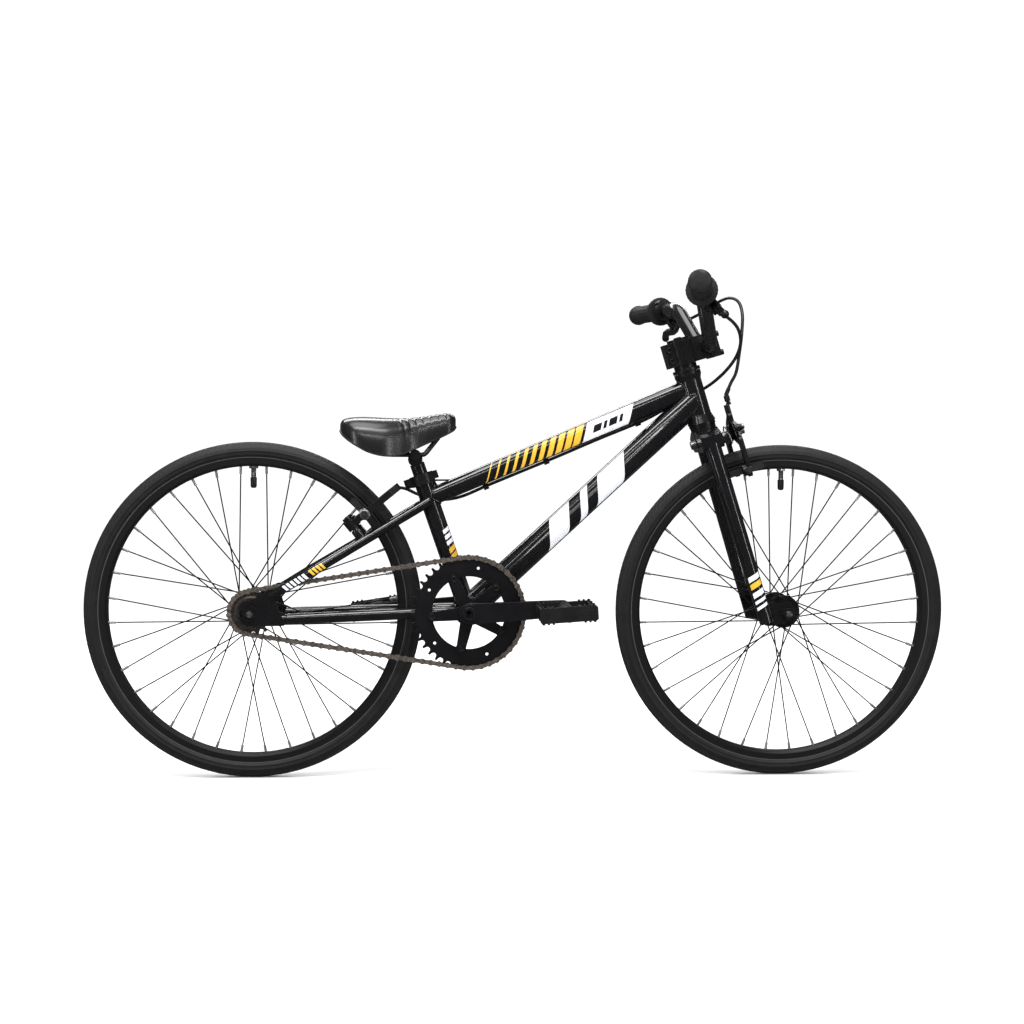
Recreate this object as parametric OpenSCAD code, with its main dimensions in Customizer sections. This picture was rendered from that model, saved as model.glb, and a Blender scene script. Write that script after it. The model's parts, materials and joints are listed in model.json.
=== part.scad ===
// Small-wheeled racing bicycle with two hand brakes, millimetres, +X forward, +Y left, +Z up.
// The origin is on the ground, midway between the two axles.

/* [Wheels] */
// Distance between the two axles
wheelbase = 803; // [770:1:840]
// Radius of the rim's outer edge
rim_edge_r = 231; // [215:1:245]
// Width of the tyre, which is also its height above the bead
tyre_w = 28; // [24:0.5:32]
// Width of the rim
rim_w = 22; // [20:0.5:24]
// Depth of the rim from its edge to its inner face
rim_depth = 14; // [12:0.5:18]
// Spokes in each wheel, in multiples of four
spoke_count = 36; // [28:4:36]
// Spoke diameter
spoke_d = 2; // [1.8:0.1:2.3]

/* [Hubs and axles] */
// Diameter of both axles
axle_d = 9.52; // [9:0.02:10]
// Clear width between the fork's dropouts
front_old = 100; // [96:1:110]
// Clear width between the frame's dropouts
rear_old = 110; // [106:1:120]
// Radius of the hub flanges
flange_r = 25; // [22:0.5:30]

/* [Drivetrain] */
// Teeth on the chainring
ring_teeth = 41; // [36:1:44]
// Teeth on the freewheel
cog_teeth = 16; // [14:1:18]
// Links in the chain
chain_links = 80; // [76:2:84]
// Distance of the chain's plane from the middle plane
chain_line = 46; // [44:0.5:48]
// Crank length, axis to axis
crank_len = 140; // [125:1:160]
// Angle of the right crank above level
crank_angle = 3.5; // [-30:0.5:30]
// Diameter of the crank spindle
spindle_d = 19; // [17:0.5:22]
// Width of the bottom bracket shell
shell_w = 68; // [64:1:73]

/* [Frame] */
// Angle of the seat tube back from upright
seat_tilt = 19.3; // [15:0.1:22]
// Angle of the steering axis back from upright
head_tilt = 17; // [14:0.1:19]
// Seat tube length above the bottom bracket axis
seat_tube_len = 217; // [205:1:245]
// Outer diameter of the seat tube
seat_tube_d = 28; // [27:0.2:31.8]
// Outer diameter of the down tube
down_tube_d = 40; // [34:0.5:44]
// Outer diameter of the top tube
top_tube_d = 27; // [24:0.5:30]
// Length of the head tube
head_tube_len = 75; // [68:1:90]
// Outer diameter of the head tube
head_tube_d = 36; // [34:0.5:40]

/* [Fork and steering] */
// Distance of the front axle ahead of the steering axis
fork_rake = 34; // [28:0.5:40]
// Clearance from the tyre up to the fork crown
crown_clear = 14; // [10:0.5:24]
// Diameter of the fork legs at the crown
leg_d = 25; // [22:0.5:28]
// Diameter of the steerer tube
steerer_d = 28.6; // [25.4:0.1:28.6]
// Reach of the stem from the steering axis to the bar
stem_reach = 38; // [34:0.5:50]
// Diameter of the handlebar
bar_d = 22.2; // [21:0.1:23]
// Width of the handlebar with its grips
bar_w = 622; // [560:2:680]
// Rise of the handlebar
bar_rise = 68; // [40:1:110]

/* [Seat] */
// Diameter of the seat post
post_d = 22.2; // [21:0.1:25.4]
// Length of seat post showing between the clamp and the saddle
post_show = 24; // [18:1:70]

/* [Hidden] */
$fn = 64;

// Clearances
fit_gap = 0.05;       // a pressed or screwed piece in its seat, and a shaft in its bearing

// Wheel sizes that follow from the driving ones
bead_lap = 5.5;       // how far the tyre reaches down inside the rim's edge
tyre_r = rim_edge_r + tyre_w - bead_lap;
rim_r = rim_edge_r - rim_depth;             // inner face of the rim, where the spokes enter
rim_wall = 2.5;
rim_floor = 4;
track_r = rim_edge_r - 8;                   // middle of the braking track
front_axle_p = [wheelbase / 2, 0, tyre_r];
rear_axle_p = [-wheelbase / 2, 0, tyre_r];
flange_y = 28;
flange_t = 2.6;

// Chain drive
pitch = 12.7;
roller_r = 3.9;
ring_r = pitch / (2 * sin(180 / ring_teeth));
cog_r = pitch / (2 * sin(180 / cog_teeth));
function lead(c) = asin((ring_r - cog_r) / c);
function chain_len(c) = 2 * sqrt(c * c - pow(ring_r - cog_r, 2))
    + pitch * (ring_teeth * (180 + 2 * lead(c)) + cog_teeth * (180 - 2 * lead(c))) / 360;
function drive_centres(c, n) =
    n == 0 ? c : drive_centres(c + (chain_links * pitch - chain_len(c)) / 2, n - 1);
stay_len = drive_centres(320, 8);           // axle to bottom bracket, set by the chain
run_lead = lead(stay_len);
run_len = stay_len * cos(run_lead);
ring_arc = ring_teeth * pitch * (180 + 2 * run_lead) / 360;
cog_arc = cog_teeth * pitch * (180 - 2 * run_lead) / 360;
bb = [rear_axle_p.x + stay_len, 0, tyre_r];
ring_t = 2.8;
spider_phase = crank_angle + 38.5;
bolt_circle_r = 55;

// Seat tube: s runs up from the bottom bracket, q runs forward from the tube
function on_seat(s, q = 0, y = 0) = [
    bb.x - s * sin(seat_tilt) + q * cos(seat_tilt), y,
    bb.z + s * cos(seat_tilt) + q * sin(seat_tilt)];
module seat_frame() translate(bb) rotate([0, -seat_tilt, 0]) children();

// Steering: u runs forward, v left and w up the steering axis; the front axle is at u = rake, w = 0
steer_o = front_axle_p - fork_rake * [cos(head_tilt), 0, sin(head_tilt)];
function on_steer(u, v, w) = [
    steer_o.x + u * cos(head_tilt) - w * sin(head_tilt), v,
    steer_o.z + u * sin(head_tilt) + w * cos(head_tilt)];
module steer_frame() translate(steer_o) rotate([0, -head_tilt, 0]) children();
crown_w = tyre_r + crown_clear;             // underside of the crown
crown_h = 32;
race_w = crown_w + crown_h;                 // top of the crown
head_lo = race_w + 11;
head_hi = head_lo + head_tube_len;
cover_w = head_hi + 5;
stem_lo = head_hi + 17;
stem_h = 37;
stem_hi = stem_lo + stem_h;
clamp_w = stem_lo + 17;
steerer_r = steerer_d / 2;

// Main tubes
seat_r = seat_tube_d / 2;
post_r = post_d / 2;
bb_r = 21;
tt_s = seat_tube_len - 37;                  // where the top tube meets the seat tube
tt_low = on_seat(tt_s);
tt_high = on_steer(0, 0, head_hi - 20);
tt_r = top_tube_d / 2;
dt_high = on_steer(0, 0, head_hi - 39);
dt_r = down_tube_d / 2;
tube_wall = 1.8;
guide_y = 12;                               // the cable guides stand this far left
guide_drop = 4;                             // and the cable this far below the top tube

// Stays and dropouts
drop_t = 5;
axle_out = 17.5;                            // threaded axle beyond the dropouts' inner faces
pilot_r = 4;                                // plain turned end of each axle
pilot_len = 7;
cs_y = rear_old / 2 - 1;                    // middle of the chain stays at the dropouts
ss_y = rear_old / 2 + 4.5;                  // seat stays pass outside the chain
ss_low = rear_axle_p + [30, ss_y, 25.3];
ss_high = on_seat(tt_s - 4, 0, 19);
ss_mid = [for (i = [0:2]) i == 1 ? ss_y - 0.5 : ss_low[i] + 0.26 * (ss_high[i] - ss_low[i])];
ss_bridge = ss_mid + 0.81 * (ss_high - ss_mid);
ss_r = 7.5;
cs_r = 8.5;
cs_low = rear_axle_p + [46, cs_y, -9];
cs_high = bb + [-6, 27, 0.5];

// Rear brake: e1 runs along the arms, e2 along the studs
arm_rise = 39;
stud_x = 166.9 * (track_r / 223);
stud_base = rear_axle_p + [stud_x, 0, 7.1 + 0.6022 * stud_x];
stud_y = 36;
hub_off = 30;                               // arm hub above the stay's centre line
pad_off = 25;                               // pad up the arm from its pivot
arm_len = 86;
module stud_frame(side) translate(stud_base + [0, side * stud_y, 0]) rotate([0, -arm_rise, 0]) children();
pad_gap = 1.6;
pad_t = 9;
pad_len = 50;
pad_h = 10;
stud_r = 4;

// Front brake, in the steering frame
cal_w = crown_w + 13.3;                     // centre bolt height
cal_u = 34;                                 // back face of the caliper
cal_t = 6;
cal_pad_w = sqrt(track_r * track_r - 70);
cal_bolt_r = 3;

// Handlebar: the right half's points mirror the left half's
bar_r = bar_d / 2;
grip_len = 120;
grip_end = 6;
bar_c = on_steer(stem_reach, 0, clamp_w);
function bar_pts(side) = [
    bar_c,
    bar_c + [0, side * 46, 0],
    bar_c + [-25, side * 118, bar_rise - 1],
    bar_c + [-25 - (bar_w / 2 - 118) * 0.19, side * (bar_w / 2 - grip_end), bar_rise + 2]];
function along_bar(side) = unit(bar_pts(side)[3] - bar_pts(side)[2]);
function bar_at(side, l) = bar_pts(side)[3] - l * along_bar(side);
lever_in = 132;                             // bracket's middle from the bar's end
lever_drop = 50;                            // levers point this far below level
function lever_down(side) = let (a = along_bar(side), b = [cos(lever_drop), 0, -sin(lever_drop)])
    unit(b - (b * a) * a);
module lever_frame(side) {
    a = along_bar(side);
    b = lever_down(side);
    place(bar_at(side, lever_in), a, b) children();
}
pivot_a = 2;
pivot_b = 31;

// Cable routes, round numbers along the real runs
cord_r = 2.5;
rear_route = [
    [262, -134, 703], [266, -120, 702], [279, -104, 701], [300, -88, 694], [318, -72, 680],
    [326, -56, 660], [322, -40, 638], [308, -22, 616], [290, 0, 598], [272, 22, 586],
    [252, 30, 576], [230, 28, 564], [210, 19, 553], [194, 13, 545], [176, 12, 537],
    [120, 12, 514], [60, 12, 488], [0, 12, 463], [-50, 12, 442], [-84, 15, 427],
    [-108, 22, 421], [-130, 30, 421], [-154, 37, 428], [-172, 42, 436], [-183, 41, 438]];
front_route = [
    [262, 134, 703], [270, 118, 704], [282, 96, 709], [296, 70, 718], [310, 44, 728],
    [322, 16, 732], [331, -10, 724], [334, -26, 704], [332, -34, 676], [328, -38, 646],
    [324, -39, 616], [322, -38, 590], [323, -37, 577]];

// Saddle: [x behind the post head, half width, lower edge, crown] at each station
saddle_o = on_seat(seat_tube_len + post_show + 2);
saddle_pivot_z = 6;
stations = [
    [-113, 9, 41, 52], [-109, 36, 35, 58], [-100, 49, 27, 61], [-86, 57, 18, 62.5],
    [-68, 60, 9, 62.5], [-46, 56, 4, 61.5], [-24, 45, 5, 61], [-4, 33, 13, 62],
    [16, 26, 22, 64.5], [36, 23, 31, 68], [50, 20, 38, 69], [58, 14, 43, 66], [61, 7, 48, 61]];

// ---------------------------------------------------------------- helpers

function unit(v) = v / norm(v);
function span(a, b) = norm(b - a);

// Put children with their x axis along a and y axis along b, at point p.
module place(p, a, b) {
    c = cross(a, b);
    multmatrix([[a.x, b.x, c.x, p.x], [a.y, b.y, c.y, p.y], [a.z, b.z, c.z, p.z], [0, 0, 0, 1]])
        children();
}

// Put children with their z axis from a towards b.
module aim(a, b) {
    d = unit(b - a);
    translate(a) rotate([0, acos(d.z), atan2(d.y, d.x)]) children();
}

module rod(a, b, r, r2 = undef)
    aim(a, b) cylinder(h = span(a, b), r1 = r, r2 = is_undef(r2) ? r : r2);

module cross_rod(p, half, r) translate(p) rotate([90, 0, 0]) cylinder(h = 2 * half, r = r, center = true);

// A cylinder along y from y0 to y1 through the point p.
module barrel(p, y0, y1, r, r2 = undef) rod([p.x, y0, p.z], [p.x, y1, p.z], r, r2);

// The points of a bend of radius bend at the corner p, between a and b, in n steps.
function bend_pts(a, p, b, bend, n) = let (
        d1 = unit(p - a), d2 = unit(b - p), turn = acos(d1 * d2),
        inward = unit(d2 - (d1 * d2) * d1),
        c = p - bend * tan(turn / 2) * d1 + bend * inward)
    [for (i = [0:n]) let (t = turn * i / n) c + bend * (sin(t) * d1 - cos(t) * inward)];
function bent_path(pts, bend, n) = [pts[0],
    for (i = [1:len(pts) - 2]) each bend_pts(pts[i - 1], pts[i], pts[i + 1], bend, n), pts[len(pts) - 1]];

// Flat outline of two circles and their common tangents, the second at distance l.
module link2d(l, r1, r2) hull() {
    circle(r = r1, $fn = 48);
    translate([l, 0]) circle(r = r2, $fn = 48);
}

module strap2d(a, b, r1, r2) translate(a) rotate(atan2(b.y - a.y, b.x - a.x)) link2d(span(a, b), r1, r2);

// Extrude a flat outline drawn in x and z, from y0 to y1.
module slab(y0, y1) translate([0, y1, 0]) rotate([90, 0, 0]) linear_extrude(y1 - y0) children();

// Extrude an outline drawn in the steering frame's v and w, from u0 to u1.
module steer_slab(u0, u1) translate([u0, 0, 0]) rotate([90, 0, 90]) linear_extrude(u1 - u0) children();

module rounded2d(w, h, r) {
    square([w - 2 * r, h], center = true);
    square([w, h - 2 * r], center = true);
    for (i = [-1, 1], j = [-1, 1]) translate([i * (w / 2 - r), j * (h / 2 - r)]) circle(r = r);
}

// Smooth curve through route points, and a plain tube swept along it.
function curve(p, i, t) = let (
        n = len(p) - 1,
        a = p[max(i - 1, 0)], b = p[i], c = p[i + 1], d = p[min(i + 2, n)])
    0.5 * (2 * b + (c - a) * t + (2 * a - 5 * b + 4 * c - d) * t * t + (3 * b - a - 3 * c + d) * t * t * t);
function fine(p, k) = [for (i = [0:len(p) - 2], j = [0:k - 1]) curve(p, i, j / k), p[len(p) - 1]];
module cord(p, r, sides = 8) {
    n = len(p);
    dirs = [for (i = [0:n - 1]) unit(p[min(i + 1, n - 1)] - p[max(i - 1, 0)])];
    rings = [for (i = [0:n - 1]) let (
        d = dirs[i],
        side = unit(cross(d, abs(d.z) > 0.94 ? [1, 0, 0] : [0, 0, 1])),
        up = cross(side, d))
        for (k = [0:sides - 1]) p[i] + r * (cos(360 * k / sides) * side + sin(360 * k / sides) * up)];
    walls = [for (i = [0:n - 2], k = [0:sides - 1]) let (m = (k + 1) % sides)
        [i * sides + k, i * sides + m, (i + 1) * sides + m, (i + 1) * sides + k]];
    polyhedron(rings, concat(walls, [[for (k = [sides - 1:-1:0]) k]],
        [[for (k = [0:sides - 1]) (n - 1) * sides + k]]), convexity = 10);
}

// ---------------------------------------------------------------- frame

module head_tube() color("black") steer_frame() difference() {
    union() {
        translate([0, 0, head_lo]) cylinder(h = head_tube_len, d = head_tube_d);
        translate([0, 0, head_lo]) cylinder(h = lip_h, r1 = head_tube_d / 2 + lip, r2 = head_tube_d / 2);
        translate([0, 0, head_hi - 8]) cylinder(h = 8, r1 = head_tube_d / 2, r2 = head_tube_d / 2 + 3);
    }
    translate([0, 0, head_lo - 1]) cylinder(h = head_tube_len + 2, r = steerer_r + 0.8);
    for (w = [head_lo - 1, head_hi - 5]) translate([0, 0, w]) cylinder(h = 6, r = steerer_r + 2);
}

lip = 4;
lip_h = 12;
module head_solid() steer_frame() {
    translate([0, 0, head_lo - 20]) cylinder(h = head_tube_len + 40, d = head_tube_d);
    translate([0, 0, head_lo]) cylinder(h = lip_h, r1 = head_tube_d / 2 + lip, r2 = head_tube_d / 2);
}
module seat_solid() seat_frame() translate([0, 0, -30]) cylinder(h = seat_tube_len + 60, r = seat_r);

module top_tube() color("black") {
    difference() {
        rod(tt_low, tt_high, tt_r);
        rod(tt_low, tt_high, tt_r - tube_wall);
        head_solid();
        seat_solid();
    }
    for (f = [0.2, 0.43, 0.78]) top_guide(f);
}

// A small guide welded under the top tube, on its left, that the brake cable runs through.
module top_guide(f) {
    p = tt_low + f * (tt_high - tt_low);
    place(p, unit(tt_high - tt_low), [0, -1, 0]) difference() {
        translate([-4, -guide_y - 5, tt_r * 0.6]) cube([8, 10, tt_r * 0.4 + 9]);
        translate([-5, -guide_y, tt_r + guide_drop]) rotate([0, 90, 0]) cylinder(h = 10, r = cord_r + 0.9);
        translate([-6, 0, 0]) rotate([0, 90, 0]) cylinder(h = 12, r = tt_r - 1);
    }
}

module down_tube() color("black") difference() {
    rod(bb, dt_high, dt_r);
    rod(bb, dt_high, dt_r - tube_wall);
    rod(tt_low, tt_high, tt_r);
    head_solid();
    seat_solid();
    cross_rod(bb, shell_w, bb_r);
}

module seat_tube() color("black") difference() {
    rod(bb, on_seat(seat_tube_len), seat_r);
    rod(on_seat(30), on_seat(seat_tube_len + 1), post_r + fit_gap);
    cross_rod(bb, shell_w, bb_r);
    seat_frame() translate([-seat_r - 5, -1.5, seat_tube_len - 26]) cube([12, 3, 30]);
}

module bottom_bracket_shell() color("black") difference() {
    cross_rod(bb, shell_w / 2, bb_r);
    cross_rod(bb, shell_w, 17);
}

module chain_stays() color("black") {
    for (side = [-1, 1]) difference() {
        rod(sided(cs_low, side), sided(cs_high, side), cs_r);
        cross_rod(bb, shell_w, bb_r);
        rod(bb, on_seat(60), seat_r);
        drop_space(side);
    }
    difference() {
        cross_rod(bb + [-50, 0, -0.5], 29, 6.5);
        for (side = [-1, 1])
            rod(sided(cs_low, side), sided(cs_high, side), cs_r - 1);
    }
}

function sided(p, side) = [p.x, side * p.y, p.z];

// One seat stay: straight past the chain, then bent in towards the seat tube.
module seat_stay(side) {
    rod(sided(ss_low, side), sided(ss_mid, side), ss_r);
    rod(sided(ss_mid, side), sided(ss_high, side), ss_r);
    translate(sided(ss_mid, side)) sphere(r = ss_r + 0.3);
}

module seat_stays() color("black") {
    for (side = [-1, 1]) difference() {
        seat_stay(side);
        seat_solid();
        drop_space(side);
        rod(tt_low, tt_high, tt_r);
    }
    cross_rod([ss_bridge.x, 0, ss_bridge.z], ss_bridge.y, 5.5);
    for (side = [-1, 1]) stud_frame(side) {
        cylinder(h = hub_off - 9, r = 8);
        cylinder(h = hub_off + 9, r = stud_r);
        translate([0, 0, hub_off + 8.5]) cylinder(h = 5, r = 7);
    }
}

// The plate's outline in x and z, from the axle to both stays.
module drop2d() translate([rear_axle_p.x, rear_axle_p.z]) difference() {
    union() {
        circle(r = 19);
        strap2d([0, 0], [46, -9], 19, 9.5);
        strap2d([0, 0], [34, 28], 17, 8.5);
        polygon([[0, 0], [34, 28], [46, -9]]);
    }
    circle(d = axle_d + 0.6);
    translate([-30, -axle_d / 2 - 0.3]) square([30, axle_d + 0.6]);
}

module drop_plate(side) {
    y = rear_old / 2;
    slab(side > 0 ? y : -y - drop_t, side > 0 ? y + drop_t : -y) drop2d();
}

// A plate's place and the space outside it, which the ends of the stays are cut back to.
module drop_space(side) {
    y = rear_old / 2;
    slab(side > 0 ? y : -y - 3 * drop_t, side > 0 ? y + 3 * drop_t : -y) drop2d();
}

module rear_dropouts() color("black") for (side = [-1, 1]) drop_plate(side);

module headset_cups() color("dimgray") steer_frame() {
    cup(head_lo, -5);
    cup(head_hi, 5);
}

// A cup seated in the head tube at height w, its rim standing out by h.
module cup(w, h) difference() {
    union() {
        translate([0, 0, min(w, w + h)]) cylinder(h = abs(h), r = head_tube_d / 2 + 2.5);
        translate([0, 0, w - (h > 0 ? 5 : 0)]) cylinder(h = 5, r = steerer_r + 2 - fit_gap);
    }
    translate([0, 0, w - 20]) cylinder(h = 40, r = steerer_r + 0.8);
}

module bottom_bracket_cups() color("dimgray") for (side = [-1, 1]) difference() {
    union() {
        barrel(bb, side * (shell_w / 2 - 14), side * (shell_w / 2 + 4), 17 - fit_gap);
        barrel(bb, side * shell_w / 2, side * (shell_w / 2 + 4), 20);
    }
    cross_rod(bb, shell_w, spindle_d / 2 + fit_gap);
}

module seat_clamp() color("black") seat_frame() difference() {
    union() {
        translate([0, 0, seat_tube_len - 15]) cylinder(h = 16, r = seat_r + 4.5);
        for (side = [-1, 1]) translate([-seat_r - 14, side * 5.5 - 3.5, seat_tube_len - 14]) cube([14, 7, 14]);
        translate([-seat_r - 8, 0, seat_tube_len - 7]) rotate([90, 0, 0]) cylinder(h = 26, r = 3.2, center = true);
        translate([-seat_r - 8, 13, seat_tube_len - 7]) rotate([90, 0, 0]) cylinder(h = 5, r = 5);
        translate([seat_r + 2, -4, seat_tube_len - 12]) cube([9, 8, 12]);
    }
    translate([0, 0, seat_tube_len - 20]) cylinder(h = 21, r = seat_r + fit_gap);
    translate([0, 0, seat_tube_len - 20]) cylinder(h = 30, r = post_r + 0.4);
}

module rear_axle() color("silver") {
    cross_rod(rear_axle_p, rear_old / 2 + axle_out, axle_d / 2);
    cross_rod(rear_axle_p, rear_old / 2 + axle_out + pilot_len, pilot_r);
    for (side = [-1, 1]) difference() {
        barrel(rear_axle_p, side * (rear_old / 2 - 5), side * rear_old / 2, 8.5);
        cross_rod(rear_axle_p, rear_old, axle_d / 2 - 0.1);
    }
}

// A washer and a hexagonal nut on an axle end, from y outward.
module axle_nut(p, y, side) difference() {
    union() {
        barrel(p, side * y, side * (y + 2), 11.5);
        translate([p.x, side * (y + 2), p.z]) rotate([side > 0 ? -90 : 90, 0, 0]) cylinder(h = 9, r = 8.6, $fn = 6);
        barrel(p, side * (y + 2), side * (y + 3.5), 9.5);
    }
    cross_rod(p, y + 40, axle_d / 2 + 0.03);
}

module rear_axle_nuts() color("dimgray")
    for (side = [-1, 1]) axle_nut(rear_axle_p, rear_old / 2 + drop_t, side);

// ---------------------------------------------------------------- chain

// The plane point of the chain at length s from the top of the chainring.
function ring_point(c, r, a) = [c.x + r * cos(a), c.z + r * sin(a)];
function mix(a, b, t) = a + (b - a) * t;
function chain_at(s) =
    s < ring_arc ? ring_point(bb, ring_r, 90 + run_lead - 360 * s / (ring_teeth * pitch)) :
    s < ring_arc + run_len ? mix(ring_point(bb, ring_r, -90 - run_lead),
        ring_point(rear_axle_p, cog_r, -90 - run_lead), (s - ring_arc) / run_len) :
    s < ring_arc + run_len + cog_arc ? ring_point(rear_axle_p, cog_r,
        -90 - run_lead - 360 * (s - ring_arc - run_len) / (cog_teeth * pitch)) :
    mix(ring_point(rear_axle_p, cog_r, 90 + run_lead), ring_point(bb, ring_r, 90 + run_lead),
        (s - ring_arc - run_len - cog_arc) / run_len);
first_on_cog = ceil((ring_arc + run_len) / pitch);
cog_phase = -90 - run_lead - 360 * (first_on_cog * pitch - ring_arc - run_len) / (cog_teeth * pitch);

// A waisted side plate from one pin to the next.
module plate2d(a, b) translate(a) rotate(atan2(b.y - a.y, b.x - a.x)) {
    circle(r = 4.1);
    translate([pitch, 0]) circle(r = 4.1);
    translate([0, -2.9]) square([pitch, 5.8]);
}

module chain() color([0.4, 0.35, 0.3]) for (k = [0:chain_links - 1]) {
    a = chain_at(k * pitch);
    b = chain_at(((k + 1) % chain_links) * pitch);
    outer = k % 2 == 0;
    if (outer) {
        for (y = [-4.2, 3.1]) slab(-chain_line + y, -chain_line + y + 1.1) plate2d(a, b);
        for (p = [a, b]) slab(-chain_line - 4.6, -chain_line + 4.6) translate(p) circle(r = 1.8);
    } else difference() {
        union() {
            for (y = [-3, 1.8]) slab(-chain_line + y, -chain_line + y + 1.2) plate2d(a, b);
            for (p = [a, b]) slab(-chain_line - 2, -chain_line + 2) translate(p) circle(r = roller_r);
        }
        for (p = [a, b]) slab(-chain_line - 5, -chain_line + 5) translate(p) circle(r = 1.9);
    }
}

// Toothed disc outline; a valley lies at the angle phase.
module sprocket2d(teeth, r, phase) difference() {
    circle(r = r + 3.3);
    for (i = [0:teeth - 1]) rotate(phase + 360 * i / teeth) translate([r, 0]) {
        circle(r = roller_r + 0.3);
        polygon([[0, 4.2], [5, 5.8], [5, -5.8], [0, -4.2]]);
    }
}

module freewheel() color("dimgray") difference() {
    union() {
        slab(-chain_line - ring_t / 2, -chain_line + ring_t / 2) translate([rear_axle_p.x, rear_axle_p.z])
            sprocket2d(cog_teeth, cog_r, cog_phase);
        barrel(rear_axle_p, -chain_line + 5, -chain_line - 2, 25);
        barrel(rear_axle_p, -chain_line - 2, -chain_line - 3.5, 25, 22.5);
    }
    cross_rod(rear_axle_p, rear_old, 17 + fit_gap);
}

module chainring() color([0.1, 0.1, 0.11]) translate([bb.x, 0, bb.z])
    slab(-chain_line - ring_t / 2, -chain_line + ring_t / 2) difference() {
        union() {
            difference() {
                sprocket2d(ring_teeth, ring_r, 90 + run_lead);
                circle(r = bolt_circle_r - 0.5);
            }
            for (i = [0:4]) rotate(spider_phase + 72 * i) translate([bolt_circle_r, 0]) circle(r = 8);
        }
        for (i = [0:4]) rotate(spider_phase + 72 * i) translate([bolt_circle_r, 0]) circle(r = 4.1);
        for (i = [0:4]) rotate(spider_phase + 36 + 72 * i) translate([bolt_circle_r + 13, 0]) circle(r = 2.2);
    }

// ---------------------------------------------------------------- cranks and pedals

arm_in = 60;          // inner face of the crank arms from the middle plane
arm_t = 14;
function crank_tip(side) = bb - side * crank_len * [cos(crank_angle), 0, sin(crank_angle)];

module crank_arm(side) {
    y0 = side > 0 ? arm_in : -arm_in - arm_t;
    difference() {
        union() {
            slab(y0, y0 + arm_t) translate([bb.x, bb.z]) rotate(crank_angle + (side > 0 ? 180 : 0))
                link2d(crank_len, 15.5, 12);
            barrel(bb, side * (shell_w / 2 + 6), side * (arm_in + arm_t + 1.5), 14.5);
        }
        cross_rod(bb, 90, spindle_d / 2 + 0.03);
        cross_rod(crank_tip(side), 90, axle_thread_r + 0.03);
    }
    // dust cap over the spindle's end
    barrel(bb, side * (arm_in + arm_t - 3), side * (arm_in + arm_t + 3), 12, 10.5);
}

module crank_spindle() color("dimgray") cross_rod(bb, arm_in + arm_t - 3.2, spindle_d / 2);

module crank_arm_right() color("black") {
    crank_arm(-1);
    for (i = [0:4]) spider_arm(spider_phase + 72 * i);
}

// One spider arm, with the screw that holds the chainring to it.
module spider_arm(a) {
    face = -chain_line - ring_t / 2 - 0.05;
    slab(face - 5, face) translate([bb.x, bb.z]) rotate(a) difference() {
        translate([10, 0]) link2d(bolt_circle_r - 10, 10, 7);
        circle(r = spindle_d / 2 + 1);
    }
    slab(face - 6.2, -chain_line + ring_t / 2 + 1.2) translate([bb.x, bb.z]) rotate(a) translate([bolt_circle_r, 0])
        circle(r = 4);
}

module crank_arm_left() color("black") crank_arm(1);

axle_thread_r = 6.5;
pedal_in = arm_in + arm_t + 5;
pedal_w = 88;
pedal_l = 84;
pedal_h = 22;

module pedal_axles() color("dimgray") for (side = [-1, 1]) {
    barrel(crank_tip(side), side * arm_in, side * (pedal_in + pedal_w - 12), axle_thread_r);
    barrel(crank_tip(side), side * (arm_in + arm_t), side * (pedal_in - 1.5), 9);
}

// A platform pedal: barrel round the axle, two end plates, cross bars and pins.
module pedal(side, tilt) translate(crank_tip(side)) rotate([0, -tilt, 0]) {
    y0 = side > 0 ? pedal_in : -pedal_in - pedal_w;
    difference() {
        union() {
            slab(y0, y0 + pedal_w) circle(r = 11.5);
            for (y = [y0, y0 + pedal_w - 7]) slab(y, y + 7) rounded2d(pedal_l, pedal_h, 4);
            for (x = [-pedal_l / 2 + 5, -22, 22, pedal_l / 2 - 5])
                slab(y0, y0 + pedal_w) translate([x, 0]) rounded2d(7, abs(x) > 30 ? pedal_h - 2 : 12, 2);
            slab(y0 + pedal_w / 2 - 4, y0 + pedal_w / 2 + 4) rounded2d(pedal_l - 4, 12, 2);
            for (x = [-pedal_l / 2 + 5, pedal_l / 2 - 5], f = [0.16, 0.5, 0.84])
                translate([x, y0 + f * pedal_w, 0]) cylinder(h = pedal_h + 5, r = 1.8, center = true);
        }
        slab(side > 0 ? y0 - 1 : y0 + 10, side > 0 ? y0 + pedal_w - 10 : y0 + pedal_w + 1)
            circle(r = axle_thread_r + fit_gap);
        for (x = [-31, 31]) slab(y0 - 1, y0 + pedal_w + 1) translate([x, 0]) circle(r = 3.2);
    }
}

module pedal_left() color([0.08, 0.08, 0.09]) pedal(1, 9);
module pedal_right() color([0.08, 0.08, 0.09]) pedal(-1, 4);

// ---------------------------------------------------------------- wheels

// A revolved shape about the axle p; the outline's x is the radius and its y the width.
module about_axle(p) translate(p) rotate([90, 0, 0]) rotate_extrude($fn = 180) children();

module rim(p) difference() {
    about_axle(p) difference() {
        polygon([[rim_r, -rim_w / 2 + 5], [rim_r + 4, -rim_w / 2], [rim_edge_r, -rim_w / 2],
            [rim_edge_r, rim_w / 2], [rim_r + 4, rim_w / 2], [rim_r, rim_w / 2 - 5]]);
        translate([rim_r + rim_floor, -rim_w / 2 + rim_wall]) square([40, rim_w - 2 * rim_wall]);
    }
    for (i = [0:spoke_count - 1]) translate(p) rotate([0, rim_hole_angle(i), 0])
        translate([0, 0, rim_r - 2]) cylinder(h = rim_floor + 4, r = 2.9);
    translate(p) translate([0, 0, rim_r - 2]) cylinder(h = rim_floor + 4, r = 4.1);
}

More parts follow.
